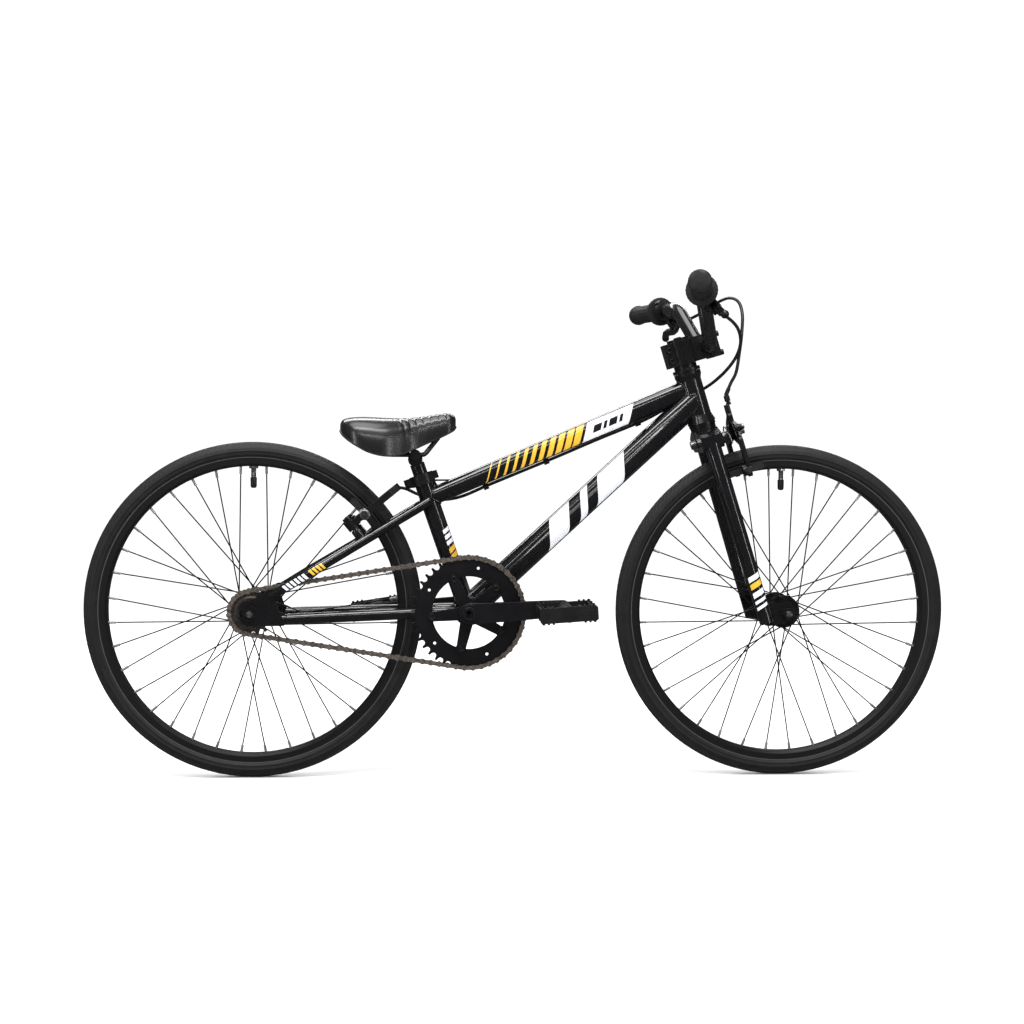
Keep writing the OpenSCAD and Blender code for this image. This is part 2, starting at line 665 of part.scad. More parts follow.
module tyre(p) about_axle(p) {
    c = tyre_r - tyre_w / 2;
    difference() {
        union() {
            difference() {
                translate([c, 0]) circle(d = tyre_w);
                translate([0, -tyre_w]) square([rim_edge_r + fit_gap, 2 * tyre_w]);
            }
            for (j = [-1, 1]) translate([rim_edge_r - 3.25, j * (rim_w / 2 - rim_wall - 1.3)])
                square([10.5, 2.4], center = true);
        }
        translate([c, 0]) circle(d = tyre_w - 5);
    }
}

// An inner tube with its valve through the rim, at the top of the wheel.
module inner_tube(p) {
    about_axle(p) translate([tyre_r - tyre_w / 2, 0]) circle(d = tyre_w - 6);
    translate(p + [0, 0, rim_r - 26]) cylinder(h = tyre_r - tyre_w / 2 - rim_r + 20, r = 4);
    translate(p + [0, 0, rim_r - 33]) cylinder(h = 16, r = 4.6);
    translate(p + [0, 0, rim_r - 4]) cylinder(h = 3.8, r = 7, $fn = 6);
}

function rim_hole_angle(i) = (i + 0.5) * 360 / spoke_count;
// Every fourth spoke leads and its neighbour trails, three crossings from its rim hole.
function hub_hole_angle(i) = rim_hole_angle(i) + (i % 4 < 2 ? 1 : -1) * 3 * 720 / spoke_count;
function polar(a, r, y) = [r * sin(a), y, r * cos(a)];

// One spoke: its head in the flange, its bend, its length and its nipple.
module spoke(i) {
    side = i % 2 == 0 ? 1 : -1;
    out = i % 4 < 2 ? 1 : -1;
    hole = polar(hub_hole_angle(i), flange_r - 3.5, side * flange_y);
    // a spoke on the outer face stands off enough to clear the flange's edge on its way in
    bend = hole + [0, side * out * (flange_t / 2 + spoke_d / 2 + (out > 0 ? 2.1 : 0.1)), 0];
    seat = polar(rim_hole_angle(i), rim_r + rim_floor - 1, 0);
    head = hole - [0, side * out * (flange_t / 2 + 0.05), 0];
    rod(head - [0, side * out * 1.2, 0], bend, spoke_d / 2);
    rod(head - [0, side * out * 1.2, 0], head, spoke_d * 0.9);
    translate(bend) sphere(d = spoke_d + 0.12);
    rod(bend, seat, spoke_d / 2);
    rod(seat - 14 * unit(seat - bend), seat, 2);
}

module spokes(p) translate(p) for (i = [0:spoke_count - 1]) spoke(i);

// Hub shell with two drilled flanges, turning on the axle.
module hub(p, half, boss) difference() {
    union() {
        barrel(p, -half, half, 10);
        barrel(p, -flange_y, flange_y, 15);
        for (side = [-1, 1]) barrel(p, side * (flange_y - flange_t / 2), side * (flange_y + flange_t / 2), flange_r);
        for (side = [-1, 1]) barrel(p, side * (flange_y - 6), side * flange_y, 15, flange_r - 7);
        if (boss > 0) barrel(p, -flange_y, -boss, 17);
        barrel(p, flange_y, flange_y + 7, 15);
    }
    cross_rod(p, half + 10, axle_d / 2 + fit_gap);
    for (i = [0:spoke_count - 1]) let (side = i % 2 == 0 ? 1 : -1)
        translate(p + polar(hub_hole_angle(i), flange_r - 3.5, side * flange_y)) rotate([90, 0, 0])
            cylinder(h = flange_t + 2, d = spoke_d + 0.1, center = true, $fn = 24);
}

module front_tyre() color([0.14, 0.14, 0.15]) tyre(front_axle_p);
module front_rim() color("black") rim(front_axle_p);
module front_spokes() color([0.1, 0.1, 0.1]) spokes(front_axle_p);
module front_hub() color("black") hub(front_axle_p, front_old / 2 - 5.3, 0);
module front_inner_tube() color([0.1, 0.1, 0.1]) inner_tube(front_axle_p);
module rear_tyre() color([0.14, 0.14, 0.15]) tyre(rear_axle_p);
module rear_rim() color("black") rim(rear_axle_p);
module rear_spokes() color([0.1, 0.1, 0.1]) spokes(rear_axle_p);
module rear_hub() color("black") hub(rear_axle_p, rear_old / 2 - 5.3, chain_line + 3);
module rear_inner_tube() color([0.1, 0.1, 0.1]) inner_tube(rear_axle_p);

module front_axle() color("silver") {
    cross_rod(front_axle_p, front_old / 2 + axle_out, axle_d / 2);
    cross_rod(front_axle_p, front_old / 2 + axle_out + pilot_len, pilot_r);
    for (side = [-1, 1]) difference() {
        barrel(front_axle_p, side * (front_old / 2 - 5), side * front_old / 2, 8.5);
        cross_rod(front_axle_p, front_old, axle_d / 2 - 0.1);
    }
}

module front_axle_nuts() color("dimgray")
    for (side = [-1, 1]) axle_nut(front_axle_p, front_old / 2 + drop_t, side);

// ---------------------------------------------------------------- fork and steering

leg_top_v = 35;
leg_low_v = front_old / 2 + drop_t / 2 + 2.5;

module fork() color("black") difference() {
    steer_frame() {
        for (side = [-1, 1]) difference() {
            rod([0, side * leg_low_v, -6], [0, side * leg_top_v, crown_w + 18], 10.5, leg_d / 2);
            translate([-20, side > 0 ? 0 : -front_old / 2, -40]) cube([80, front_old / 2, 70]);
        }
        steer_slab(-17, 17) intersection() {
            translate([0, crown_w + crown_h / 2]) rounded2d(2 * leg_top_v + leg_d, crown_h, 12);
            translate([0, crown_w - 10]) polygon([[-60, 0], [60, 0], [60, 26], [22, 42], [-22, 42], [-60, 26]]);
        }
        translate([0, 0, crown_w]) cylinder(h = crown_h, r = 18);
        translate([0, 0, crown_w + 10]) cylinder(h = stem_hi - crown_w - 13, r = steerer_r);
        for (side = [-1, 1]) fork_end(side);
    }
    steer_frame() {
        translate([0, 0, crown_w + 30]) cylinder(h = 300, r = steerer_r - 1.6);
        translate([-40, 0, cal_w]) rotate([0, 90, 0]) cylinder(h = 80, r = cal_bolt_r + fit_gap);
    }
}

// The plate that reaches forward from a leg to the axle.
module fork_end(side) {
    y = front_old / 2;
    slab(side > 0 ? y : -y - drop_t, side > 0 ? y + drop_t : -y) difference() {
        union() {
            strap2d([fork_rake, 0], [4, 14], 15.5, 11);
            strap2d([fork_rake, 0], [4, -2], 15.5, 9);
        }
        translate([fork_rake, 0]) circle(d = axle_d + 0.6);
        translate([fork_rake - axle_d / 2 - 0.3, -30]) square([axle_d + 0.6, 30]);
    }
}

module ring(w, h, r, bore) translate([0, 0, w]) difference() {
    cylinder(h = h, r = r);
    translate([0, 0, -1]) cylinder(h = h + 2, r = bore);
}

module headset_bearings() color([0.1, 0.1, 0.1]) steer_frame() {
    ring(race_w + 0.05, 5.6, head_tube_d / 2 + 1.5, steerer_r + fit_gap);
    ring(cover_w + 0.3, 5.2, head_tube_d / 2 + 3.2, steerer_r + fit_gap);
    ring(cover_w + 5.6, stem_lo - cover_w - 5.65, 17.5, steerer_r + fit_gap);
}

stem_half = 24;
module stem() color("black") steer_frame() difference() {
    union() {
        translate([0, 0, stem_lo]) cylinder(h = stem_h, r = 19);
        translate([-26, -17, stem_lo]) cube([14, 34, stem_h]);
        translate([0, -stem_half + 4, stem_lo]) cube([stem_reach - 1, 2 * stem_half - 8, stem_h]);
        translate([16, -stem_half, stem_lo]) cube([stem_reach - 17, 2 * stem_half, stem_h]);
    }
    translate([0, 0, stem_lo - 1]) cylinder(h = stem_h + 2, r = steerer_r + fit_gap);
    translate([-30, -1, stem_lo - 1]) cube([20, 2, stem_h + 2]);
    translate([stem_reach, 0, clamp_w]) rotate([90, 0, 0]) cylinder(h = 80, r = bar_r + fit_gap, center = true);
    for (j = [-1, 1], k = [-1, 1]) translate([20, j * 17, clamp_w + k * 14.5]) rotate([0, 90, 0])
        cylinder(h = 30, r = 2.6);
    for (w = [10, stem_h - 10]) translate([-20, 0, stem_lo + w]) rotate([90, 0, 0]) cylinder(h = 40, r = 2.6, center = true);
}

module stem_faceplate() color("black") steer_frame() difference() {
    translate([stem_reach + 1, -stem_half, clamp_w - 19]) cube([16, 2 * stem_half, 38]);
    translate([stem_reach, 0, clamp_w]) rotate([90, 0, 0]) cylinder(h = 80, r = bar_r + fit_gap, center = true);
    for (j = [-1, 1], k = [-1, 1]) translate([stem_reach, j * 17, clamp_w + k * 14.5]) rotate([0, 90, 0])
        cylinder(h = 30, r = 2.6);
    translate([stem_reach + 12, -8, clamp_w - 20]) cube([10, 16, 40]);
}

module stem_bolts() color("dimgray") steer_frame() {
    for (j = [-1, 1], k = [-1, 1]) translate([24, j * 17, clamp_w + k * 14.5]) rotate([0, 90, 0]) {
        cylinder(h = stem_reach - 6, r = 2.5);
        translate([0, 0, stem_reach - 6.95]) cylinder(h = 4.5, r = 4.4);
    }
    for (w = [10, stem_h - 10]) translate([-20, 0, stem_lo + w]) rotate([90, 0, 0]) {
        cylinder(h = 36, r = 2.5, center = true);
        translate([0, 0, 17.05]) cylinder(h = 4.5, r = 4.4);
    }
}

module stem_cap() color("black") steer_frame() {
    translate([0, 0, stem_hi + 0.1]) cylinder(h = 4, r = 17);
    translate([0, 0, stem_hi + 4]) cylinder(h = 1.6, r = 6);
    translate([0, 0, stem_hi - 14]) cylinder(h = 15, r = 4);
}

module handlebar() color([0.06, 0.06, 0.06])
    cord(bent_path(concat([for (i = [3:-1:1]) bar_pts(-1)[i]], [for (i = [1:3]) bar_pts(1)[i]]), 42, 6), bar_r, 24);

module grips() color([0.13, 0.13, 0.14]) for (side = [-1, 1]) difference() {
    union() {
        rod(bar_at(side, grip_len - grip_end), bar_at(side, 4), 14.3, 14.8);
        rod(bar_at(side, 6), bar_at(side, -grip_end), 16.5);
        rod(bar_at(side, grip_len - grip_end), bar_at(side, grip_len - grip_end - 5), 23);
    }
    rod(bar_at(side, grip_len), bar_at(side, -0.1), bar_r + fit_gap);
}

module lever_brackets() color("black") for (side = [-1, 1]) lever_frame(side) {
    difference() {
        union() {
            translate([-8, 0, 0]) rotate([0, 90, 0]) cylinder(h = 16, r = 15.5);
            translate([-8, 4, -7.5]) cube([18, 24, 15]);
            translate([pivot_a, pivot_b, 0]) cylinder(h = 15, r = 7.5, center = true);
            translate([-9, 22, 0]) rotate([0, -90, 0]) cylinder(h = 8, r = 6.5);
            translate([-17, 22, 0]) rotate([0, -90, 0]) cylinder(h = 16, r = 4);
            translate([-8, -19, -4]) cube([16, 8, 8]);
            translate([-14, 22, -4]) cube([8, 6, 8]);
        }
        translate([-20, 0, 0]) rotate([0, 90, 0]) cylinder(h = 40, r = bar_r + fit_gap);
        translate([-5, 18, -4.3]) cube([40, 40, 8.6]);
    }
    translate([pivot_a, pivot_b, 0]) cylinder(h = 17, r = 2.5, center = true);
}

// A two-finger lever blade that turns on its pin and curls away at its tip.
module lever_blade(side) lever_frame(side) difference() {
    union() {
        translate([0, 0, -4]) linear_extrude(8) {
            strap2d([pivot_a, pivot_b], [24, 40], 6.2, 5.5);
            strap2d([24, 40], [62, 41], 5.5, 4.6);
            strap2d([62, 41], [84, 50], 4.6, 4);
        }
        translate([86, 52, 0]) sphere(r = 6);
    }
    translate([pivot_a, pivot_b, 0]) cylinder(h = 20, r = 2.5 + fit_gap, center = true);
}

module brake_lever_left() color([0.1, 0.1, 0.1]) lever_blade(1);
module brake_lever_right() color([0.1, 0.1, 0.1]) lever_blade(-1);

// ---------------------------------------------------------------- brakes

module caliper_bolt() color("silver") steer_frame() translate([0, 0, cal_w]) rotate([0, 90, 0]) {
    translate([0, 0, -23]) cylinder(h = 82, r = cal_bolt_r);
    translate([0, 0, -26]) cylinder(h = 7.8, r = 6.5);
    translate([0, 0, 18.2]) cylinder(h = cal_u - 18.5, r = 7);
    translate([0, 0, cal_u + 2 * cal_t + 1.2]) cylinder(h = 7, r = 6.5, $fn = 6);
    translate([0, 0, cal_u + 2 * cal_t + 8.2]) cylinder(h = 5, r = 5);
}

// One caliper arm in the v and w plane: tail, pivot, shoulder and pad seat.
module caliper_arm(side, u, tail_w) steer_frame() difference() {
    union() {
        steer_slab(u, u + cal_t) {
            strap2d([-38, tail_w], [-10, cal_w + 12], 6, 7);
            strap2d([-10, cal_w + 12], [0, cal_w], 7, 10);
            strap2d([0, cal_w], [side * 34, cal_w - 12], 10, 8);
            strap2d([side * 34, cal_w - 12], [side * 36, cal_pad_w + 14], 8, 6.5);
            strap2d([side * 36, cal_pad_w + 14], [side * 34, cal_pad_w - 4], 6.5, 6.5);
        }
        steer_slab(cal_u, cal_u + 2 * cal_t + 0.4) translate([side * 35, cal_pad_w]) circle(r = 8);
        if (side > 0) translate([u + cal_t / 2, -38, tail_w - 9]) cylinder(h = 27, r = 4.5);
        if (side < 0) translate([u - 1, -38, tail_w]) rotate([0, 90, 0]) cylinder(h = cal_t + 5, r = 5);
    }
    translate([0, 0, cal_w]) rotate([0, 90, 0]) cylinder(h = 80, r = cal_bolt_r + fit_gap);
    translate([cal_u + cal_t + 0.2, 0, cal_pad_w]) rotate([90, 0, 0]) cylinder(h = 100, r = 3.05, center = true);
}

module caliper_arm_left() color("black") caliper_arm(1, cal_u, cal_w + 28);
module caliper_arm_right() color("black") caliper_arm(-1, cal_u + cal_t + 0.4, cal_w + 8);

// A brake shoe with its stud and nut; its face stands clear of the rim by pad_gap.
module shoe(outer) {
    face = rim_w / 2 + pad_gap;
    translate([0, face + pad_t / 2, 0]) cube([pad_len, pad_t, pad_h], center = true);
    for (i = [-1, 1]) translate([i * pad_len / 2, face + pad_t, 0]) rotate([90, 0, 0]) cylinder(h = pad_t, r = pad_h / 2);
    translate([0, face + pad_t - 1, 0]) rotate([-90, 0, 0]) cylinder(h = outer - face - pad_t + 8, r = 3);
    translate([0, outer + 0.1, 0]) rotate([-90, 0, 0]) cylinder(h = 5, r = 5.5, $fn = 6);
}

module front_shoe(side) steer_frame() translate([cal_u + cal_t + 0.2, 0, cal_pad_w]) scale_y(side) shoe(43.5);
module scale_y(side) if (side > 0) children(); else mirror([0, 1, 0]) children();
module front_pad_left() color([0.12, 0.12, 0.12]) front_shoe(1);
module front_pad_right() color([0.12, 0.12, 0.12]) front_shoe(-1);

// A linear-pull arm: hub on the stud, pad seat, and its outer end at arm_len.
module v_arm(side) difference() {
    stud_frame(side) union() {
        translate([0, 0, hub_off - 8]) cylinder(h = 16, r = 9.2);
        translate([0, 0, hub_off - 5]) linear_extrude(10) {
            strap2d([0, 0], [pad_off, side * 2], 8.5, 8);
            strap2d([pad_off, side * 2], [arm_len - 12, -side * 1], 8, 6);
            strap2d([arm_len - 12, -side * 1], [arm_len, -side * 7], 6, 5);
        }
    }
    stud_frame(side) translate([0, 0, hub_off - 20]) cylinder(h = 60, r = stud_r + fit_gap);
    stud_frame(0) translate([pad_off, 0, hub_off]) rotate([90, 0, 0]) cylinder(h = 120, r = 3.05, center = true);
}

// Outer face of the eye at an arm's end, where the cable meets it.
eye_t = 7;
function arm_eye(side) = stud_base + [
    arm_len * cos(arm_rise) - hub_off * sin(arm_rise), side * (stud_y - 9 + eye_t / 2),
    arm_len * sin(arm_rise) + hub_off * cos(arm_rise)];

module v_arm_left() color("black") {
    v_arm(1);
    rod(arm_eye(1), arm_eye(1) - [0, eye_t, 0], 4.5);
}
module v_arm_right() color("black") {
    v_arm(-1);
    rod(arm_eye(-1), arm_eye(-1) + [0, eye_t, 0], 4.5);
}

module rear_shoe(side) stud_frame(0) translate([pad_off, 0, hub_off]) scale_y(side) rotate([0, -92.3, 0]) shoe(47);
module rear_pad_left() color([0.12, 0.12, 0.12]) rear_shoe(1);
module rear_pad_right() color([0.12, 0.12, 0.12]) rear_shoe(-1);

wire_r = 0.8;
// Gap from the housing's end to the left arm's eye, which the bent end of the arm fills.
housing_gap = 6.3;

// The housing, and the bare wire between the two arms' ends.
module rear_brake_cable() color([0.08, 0.08, 0.08]) {
    cord(fine(concat(rear_route, [arm_eye(1) + [0, housing_gap, 0]]), 3), cord_r);
    rod(arm_eye(1) - [0, eye_t + 0.2, 0], arm_eye(-1) + [0, eye_t + 0.2, 0], wire_r);
}
module front_brake_cable() color([0.08, 0.08, 0.08]) cord(fine(front_route, 3), cord_r);

// ---------------------------------------------------------------- seat

module seat_post() color("black") difference() {
    union() {
        rod(on_seat(105), on_seat(seat_tube_len + post_show - 6), post_r);
        cross_rod(saddle_o + [0, 0, -1], 17, 11);
        for (side = [-1, 1]) cross_rod(saddle_o + [0, side * 22, saddle_pivot_z], 7, 8);
        cross_rod(saddle_o + [0, 0, saddle_pivot_z], 22, 5);
    }
    rod(on_seat(100), on_seat(seat_tube_len + post_show - 20), post_r - 2.2);
    for (side = [-1, 1]) rod(rail_p(side, -60), rail_p(side, 40), rail_r + fit_gap);
}

rail_r = 3.5;
function rail_p(side, x) = saddle_o + [x, side * 22, saddle_pivot_z];

module saddle_rails() color("silver") for (side = [-1, 1])
    cord(bent_path([saddle_o + [-80, side * 30, 39.5], rail_p(side, -40), rail_p(side, 14),
        saddle_o + [34, side * 8, 31], saddle_o + [44, side * 5, 48]], 8, 3), rail_r, 12);

// The arched cross-section of the saddle at one station, outer line then inner line.
arch_n = 14;
function arch(w, lo, hi) = [for (k = [0:arch_n]) let (a = 180 * k / arch_n)
    [w * (cos(a) < 0 ? -1 : 1) * pow(abs(cos(a)), 0.72), lo + (hi - lo) * pow(sin(a), 0.62)]];
function shell_ring(st, t_side, t_top) = let (
        w = st[1], lo = st[2], hi = st[3],
        wi = max(w - t_side, w * 0.3), hi_i = max(hi - t_top, lo + 2))
    concat([for (q = arch(w, lo, hi)) [st[0], q.x, q.y]],
        [for (k = [arch_n:-1:0]) let (q = arch(wi, lo, hi_i)[k]) [st[0], q.x, q.y]]);

// A shell lofted through the stations between an outer and an inner arch.
module loft(rings) {
    m = len(rings[0]);
    n = len(rings);
    pts = [for (r = rings, q = r) q];
    walls = [for (i = [0:n - 2], k = [0:m - 1]) let (j = (k + 1) % m)
        [i * m + k, (i + 1) * m + k, (i + 1) * m + j, i * m + j]];
    caps = [for (k = [0:m / 2 - 2]) each [[k, k + 1, m - 2 - k, m - 1 - k],
        [for (j = [m - 1 - k, m - 2 - k, k + 1, k]) (n - 1) * m + j]]];
    polyhedron(pts, concat(walls, caps), convexity = 6);
}

pad_side = 9;
pad_top = 15;
base_t = 3;
base_gap = 0.8;
module saddle_pad() color([0.05, 0.05, 0.05]) translate(saddle_o)
    loft([for (st = stations) shell_ring(st, pad_side, pad_top)]);

module saddle_base() color([0.1, 0.1, 0.1]) translate(saddle_o)
    loft([for (i = [2:len(stations) - 3]) let (st = stations[i])
        shell_ring([st[0], st[1] - pad_side - base_gap, st[2] + 1, st[3] - pad_top - base_gap], base_t, base_t)]);

// ----------------------------------------------------------------

head_tube();
top_tube();
down_tube();
seat_tube();
bottom_bracket_shell();
chain_stays();
seat_stays();
rear_dropouts();
headset_cups();
bottom_bracket_cups();
seat_clamp();
rear_axle();
rear_axle_nuts();
rear_brake_cable();
chain();
seat_post();
saddle_rails();
saddle_base();
saddle_pad();
fork();
headset_bearings();
stem();
stem_faceplate();
stem_bolts();
stem_cap();
handlebar();
grips();
lever_brackets();
front_axle();
front_axle_nuts();
caliper_bolt();
front_brake_cable();
brake_lever_left();
brake_lever_right();
caliper_arm_left();
caliper_arm_right();
front_pad_left();
front_pad_right();
v_arm_left();
v_arm_right();
rear_pad_left();
rear_pad_right();
front_tyre();
front_rim();
front_spokes();
front_hub();
front_inner_tube();
rear_tyre();
rear_rim();
rear_spokes();
rear_hub();
rear_inner_tube();
freewheel();
crank_spindle();
chainring();
crank_arm_right();
crank_arm_left();
pedal_axles();
pedal_left();
pedal_right();
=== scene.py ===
"""Looks of a small-wheeled racing bicycle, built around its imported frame."""

import json
import logging
import math
from dataclasses import dataclass
from enum import Enum
from typing import Callable, Optional, Sequence, Union

import bpy
from mathutils import Matrix, Vector


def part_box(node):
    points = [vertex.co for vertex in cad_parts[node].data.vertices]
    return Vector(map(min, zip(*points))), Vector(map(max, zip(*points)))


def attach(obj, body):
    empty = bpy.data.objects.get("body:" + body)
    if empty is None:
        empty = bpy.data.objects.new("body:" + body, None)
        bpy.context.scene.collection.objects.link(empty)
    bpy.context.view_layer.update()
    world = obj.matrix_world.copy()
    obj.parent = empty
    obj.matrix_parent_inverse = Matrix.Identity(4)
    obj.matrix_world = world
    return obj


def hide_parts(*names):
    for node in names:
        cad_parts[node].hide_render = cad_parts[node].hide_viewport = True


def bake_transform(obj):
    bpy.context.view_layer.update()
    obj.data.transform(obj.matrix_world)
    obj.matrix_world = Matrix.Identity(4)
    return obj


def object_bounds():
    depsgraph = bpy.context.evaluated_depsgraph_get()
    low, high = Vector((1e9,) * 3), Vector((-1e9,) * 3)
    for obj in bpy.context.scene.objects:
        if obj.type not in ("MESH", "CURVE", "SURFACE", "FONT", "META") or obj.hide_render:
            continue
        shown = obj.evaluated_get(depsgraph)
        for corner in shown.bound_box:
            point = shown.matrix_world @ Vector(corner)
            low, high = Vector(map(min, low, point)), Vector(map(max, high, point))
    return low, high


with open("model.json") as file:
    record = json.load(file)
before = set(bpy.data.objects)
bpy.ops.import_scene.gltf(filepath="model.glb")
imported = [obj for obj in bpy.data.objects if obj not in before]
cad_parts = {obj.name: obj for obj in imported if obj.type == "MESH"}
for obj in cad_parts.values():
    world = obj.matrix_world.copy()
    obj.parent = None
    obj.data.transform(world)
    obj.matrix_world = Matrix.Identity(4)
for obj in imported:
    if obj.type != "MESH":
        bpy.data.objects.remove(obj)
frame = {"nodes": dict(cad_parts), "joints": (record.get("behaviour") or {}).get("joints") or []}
CAD_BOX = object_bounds()
LOG = logging.getLogger("bicycle")
MM = 0.001
Colour = tuple[float, float, float]
Radius = Callable[[float, float], float]
Solid = tuple[list[Vector], list[tuple[int, ...]]]


# ------------------------------------------------------------------ shader maths

class Port:
    """A shader socket that arithmetic can be written on."""

    def __init__(self, sheet: "Sheet", socket: bpy.types.NodeSocket) -> None:
        """Wrap a socket of a sheet."""
        self.sheet = sheet
        self.socket = socket

    def maths(self, operation: str, *values: "Number", clamp: bool = False) -> "Port":
        """Add one Math node.

        Args:
            operation: the Math node's operation.
            values: its inputs, in order.
            clamp: whether its result is held between 0 and 1.

        Returns:
            The node's result.
        """
        settings = {"operation": operation, "use_clamp": clamp}
        return self.sheet.node("ShaderNodeMath", settings, dict(enumerate(values)))

    def __add__(self, other: "Number") -> "Port":
        """self + other."""
        return self.maths("ADD", self, other)

    def __radd__(self, other: "Number") -> "Port":
        """other + self."""
        return self.maths("ADD", other, self)

    def __sub__(self, other: "Number") -> "Port":
        """self - other."""
        return self.maths("SUBTRACT", self, other)

    def __rsub__(self, other: "Number") -> "Port":
        """other - self."""
        return self.maths("SUBTRACT", other, self)

    def __mul__(self, other: "Number") -> "Port":
        """self * other."""
        return self.maths("MULTIPLY", self, other)

    def __rmul__(self, other: "Number") -> "Port":
        """other * self."""
        return self.maths("MULTIPLY", other, self)

    def above(self, edge: float, soft: float) -> "Port":
        """0 below the edge and 1 above it, over a soft width."""
        return self.maths("MULTIPLY", self - (edge - soft / 2), 1 / soft, clamp=True)


Number = Union[Port, float, int]


class Sheet:
    """One material's node tree, with its Principled shader at hand."""

    def __init__(self, name: str) -> None:
        """Start an empty material with a shader and an output."""
        self.material = bpy.data.materials.new(name)
        self.material.use_nodes = True
        self.tree = self.material.node_tree
        self.shader = next(n for n in self.tree.nodes if n.type == "BSDF_PRINCIPLED")

    def node(self, kind: str, settings: dict, inputs: dict, output: Union[int, str] = 0) -> Port:
        """Add any node.

        Args:
            kind: the node's type.
            settings: its own settings, set first; "stops" fills a ramp.
            inputs: values or links by socket name or number.
            output: which output is returned.

        Returns:
            That output.
        """
        node = self.tree.nodes.new(kind)
        for key, value in settings.items():
            if key == "stops":
                for place, (at, colour) in enumerate(value):
                    stops = node.color_ramp.elements
                    stop = stops[place] if place < len(stops) else stops.new(at)
                    stop.position = at
                    stop.color = (*colour, 1)
            else:
                setattr(node, key, value)
        for key, value in inputs.items():
            self.put(node.inputs[key], value)
        return Port(self, node.outputs[output])

    def put(self, socket: bpy.types.NodeSocket, value: Union[Number, Sequence[float]]) -> None:
        """Link a port to a socket, or set its value."""
        if isinstance(value, Port):
            self.tree.links.new(value.socket, socket)
        else:
            socket.default_value = value

    def set(self, **values: Union[Number, Sequence[float]]) -> None:
        """Set the shader's own sockets, with _ for a space in each name."""
        for key, value in values.items():
            self.put(self.shader.inputs[key.replace("_", " ")], value)

    def place(self) -> Port:
        """The point's place in the bicycle's own frame, in metres."""
        return self.node("ShaderNodeTexCoord", {}, {}, "Object")

    def noise(self, scale: float, detail: float = 3, rough: float = 0.5) -> Port:
        """Smooth noise at so many waves a metre."""
        values = {"Vector": self.place(), "Scale": scale, "Detail": detail, "Roughness": rough}
        return self.node("ShaderNodeTexNoise", {}, values, "Fac")

    def cells(self, scale: float, feature: str = "F1") -> Port:
        """Distance in a pattern of cells at so many a metre."""
        settings = {"feature": feature}
        return self.node("ShaderNodeTexVoronoi", settings, {"Vector": self.place(), "Scale": scale}, "Distance")

    def blend(self, mask: Number, low: Colour, high: Union[Colour, Port]) -> Port:
        """A colour between two, by a mask."""
        socket = high if isinstance(high, Port) else (*high, 1)
        return self.node("ShaderNodeMix", {"data_type": "RGBA"}, {0: mask, 6: (*low, 1), 7: socket}, 2)

    def radius(self, centre: Vector) -> Port:
        """Distance in the bicycle's middle plane from a wheel's axle."""
        flat = self.node("ShaderNodeVectorMath", {"operation": "MULTIPLY"}, {0: self.place(), 1: (1, 0, 1)})
        middle = (centre.x, 0, centre.z)
        return self.node("ShaderNodeVectorMath", {"operation": "DISTANCE"}, {0: flat, 1: middle}, "Value")

    def bump(self, height: Port, depth: float, strength: float = 1.0) -> None:
        """Feed a height, in shares of a depth in metres, to the shader's Normal."""
        values = {"Height": height, "Distance": depth, "Strength": strength}
        self.set(Normal=self.node("ShaderNodeBump", {}, values, "Normal"))


# ------------------------------------------------------------------ finishes

@dataclass(frozen=True)
class Finish:
    """A finish: its name, its darker and lighter colours, and its gloss."""

    name: str
    dark: Colour
    light: Colour
    gloss: tuple[float, float] = (0.3, 0.42)
    metal: float = 0.0

    def make(self) -> bpy.types.Material:
        """Build the material."""
        sheet = Sheet(self.name)
        self.paint(sheet)
        return sheet.material

    def paint(self, sheet: Sheet) -> None:
        """Fill the sheet; each finish adds its own grain."""
        cloud = sheet.noise(38, 4)
        low, high = self.gloss
        sheet.set(Base_Color=sheet.blend(cloud.above(0.5, 0.5), self.dark, self.light),
                  Roughness=cloud * (high - low) + low, Metallic=self.metal)


@dataclass(frozen=True)
class GlossPaint(Finish):
    """Sprayed gloss paint under lacquer, with a faint orange peel."""

    def paint(self, sheet: Sheet) -> None:
        """Add lacquer and orange peel."""
        super().paint(sheet)
        sheet.set(Coat_Weight=0.8, Coat_Roughness=0.05, Specular_IOR_Level=0.5)
        sheet.bump(sheet.noise(150, 1), 0.00003, 0.12)


@dataclass(frozen=True)
class SatinAlloy(Finish):
    """Anodised or coated alloy with a fine blasted grain and rubbed edges."""

    grain: float = 1600

    def paint(self, sheet: Sheet) -> None:
        """Add the blasted grain over rounded edges."""
        super().paint(sheet)
        edge = sheet.node("ShaderNodeBevel", {"samples": 4}, {"Radius": 0.0007}, "Normal")
        values = {"Height": sheet.noise(self.grain, 2), "Distance": 0.00003, "Strength": 0.2, "Normal": edge}
        sheet.set(Normal=sheet.node("ShaderNodeBump", {}, values, "Normal"))


@dataclass(frozen=True)
class OiledSteel(Finish):
    """Steel with a brown oil film that pools in patches."""

    def paint(self, sheet: Sheet) -> None:
        """Add film patches and fine scratches."""
        patches = sheet.noise(260, 5, 0.65)
        film = patches.above(0.5, 0.22)
        low, high = self.gloss
        sheet.set(Base_Color=sheet.blend(film, self.dark, self.light),
                  Roughness=film * (high - low) + low, Metallic=self.metal)
        sheet.bump(sheet.noise(2400, 2), 0.00003, 0.5)


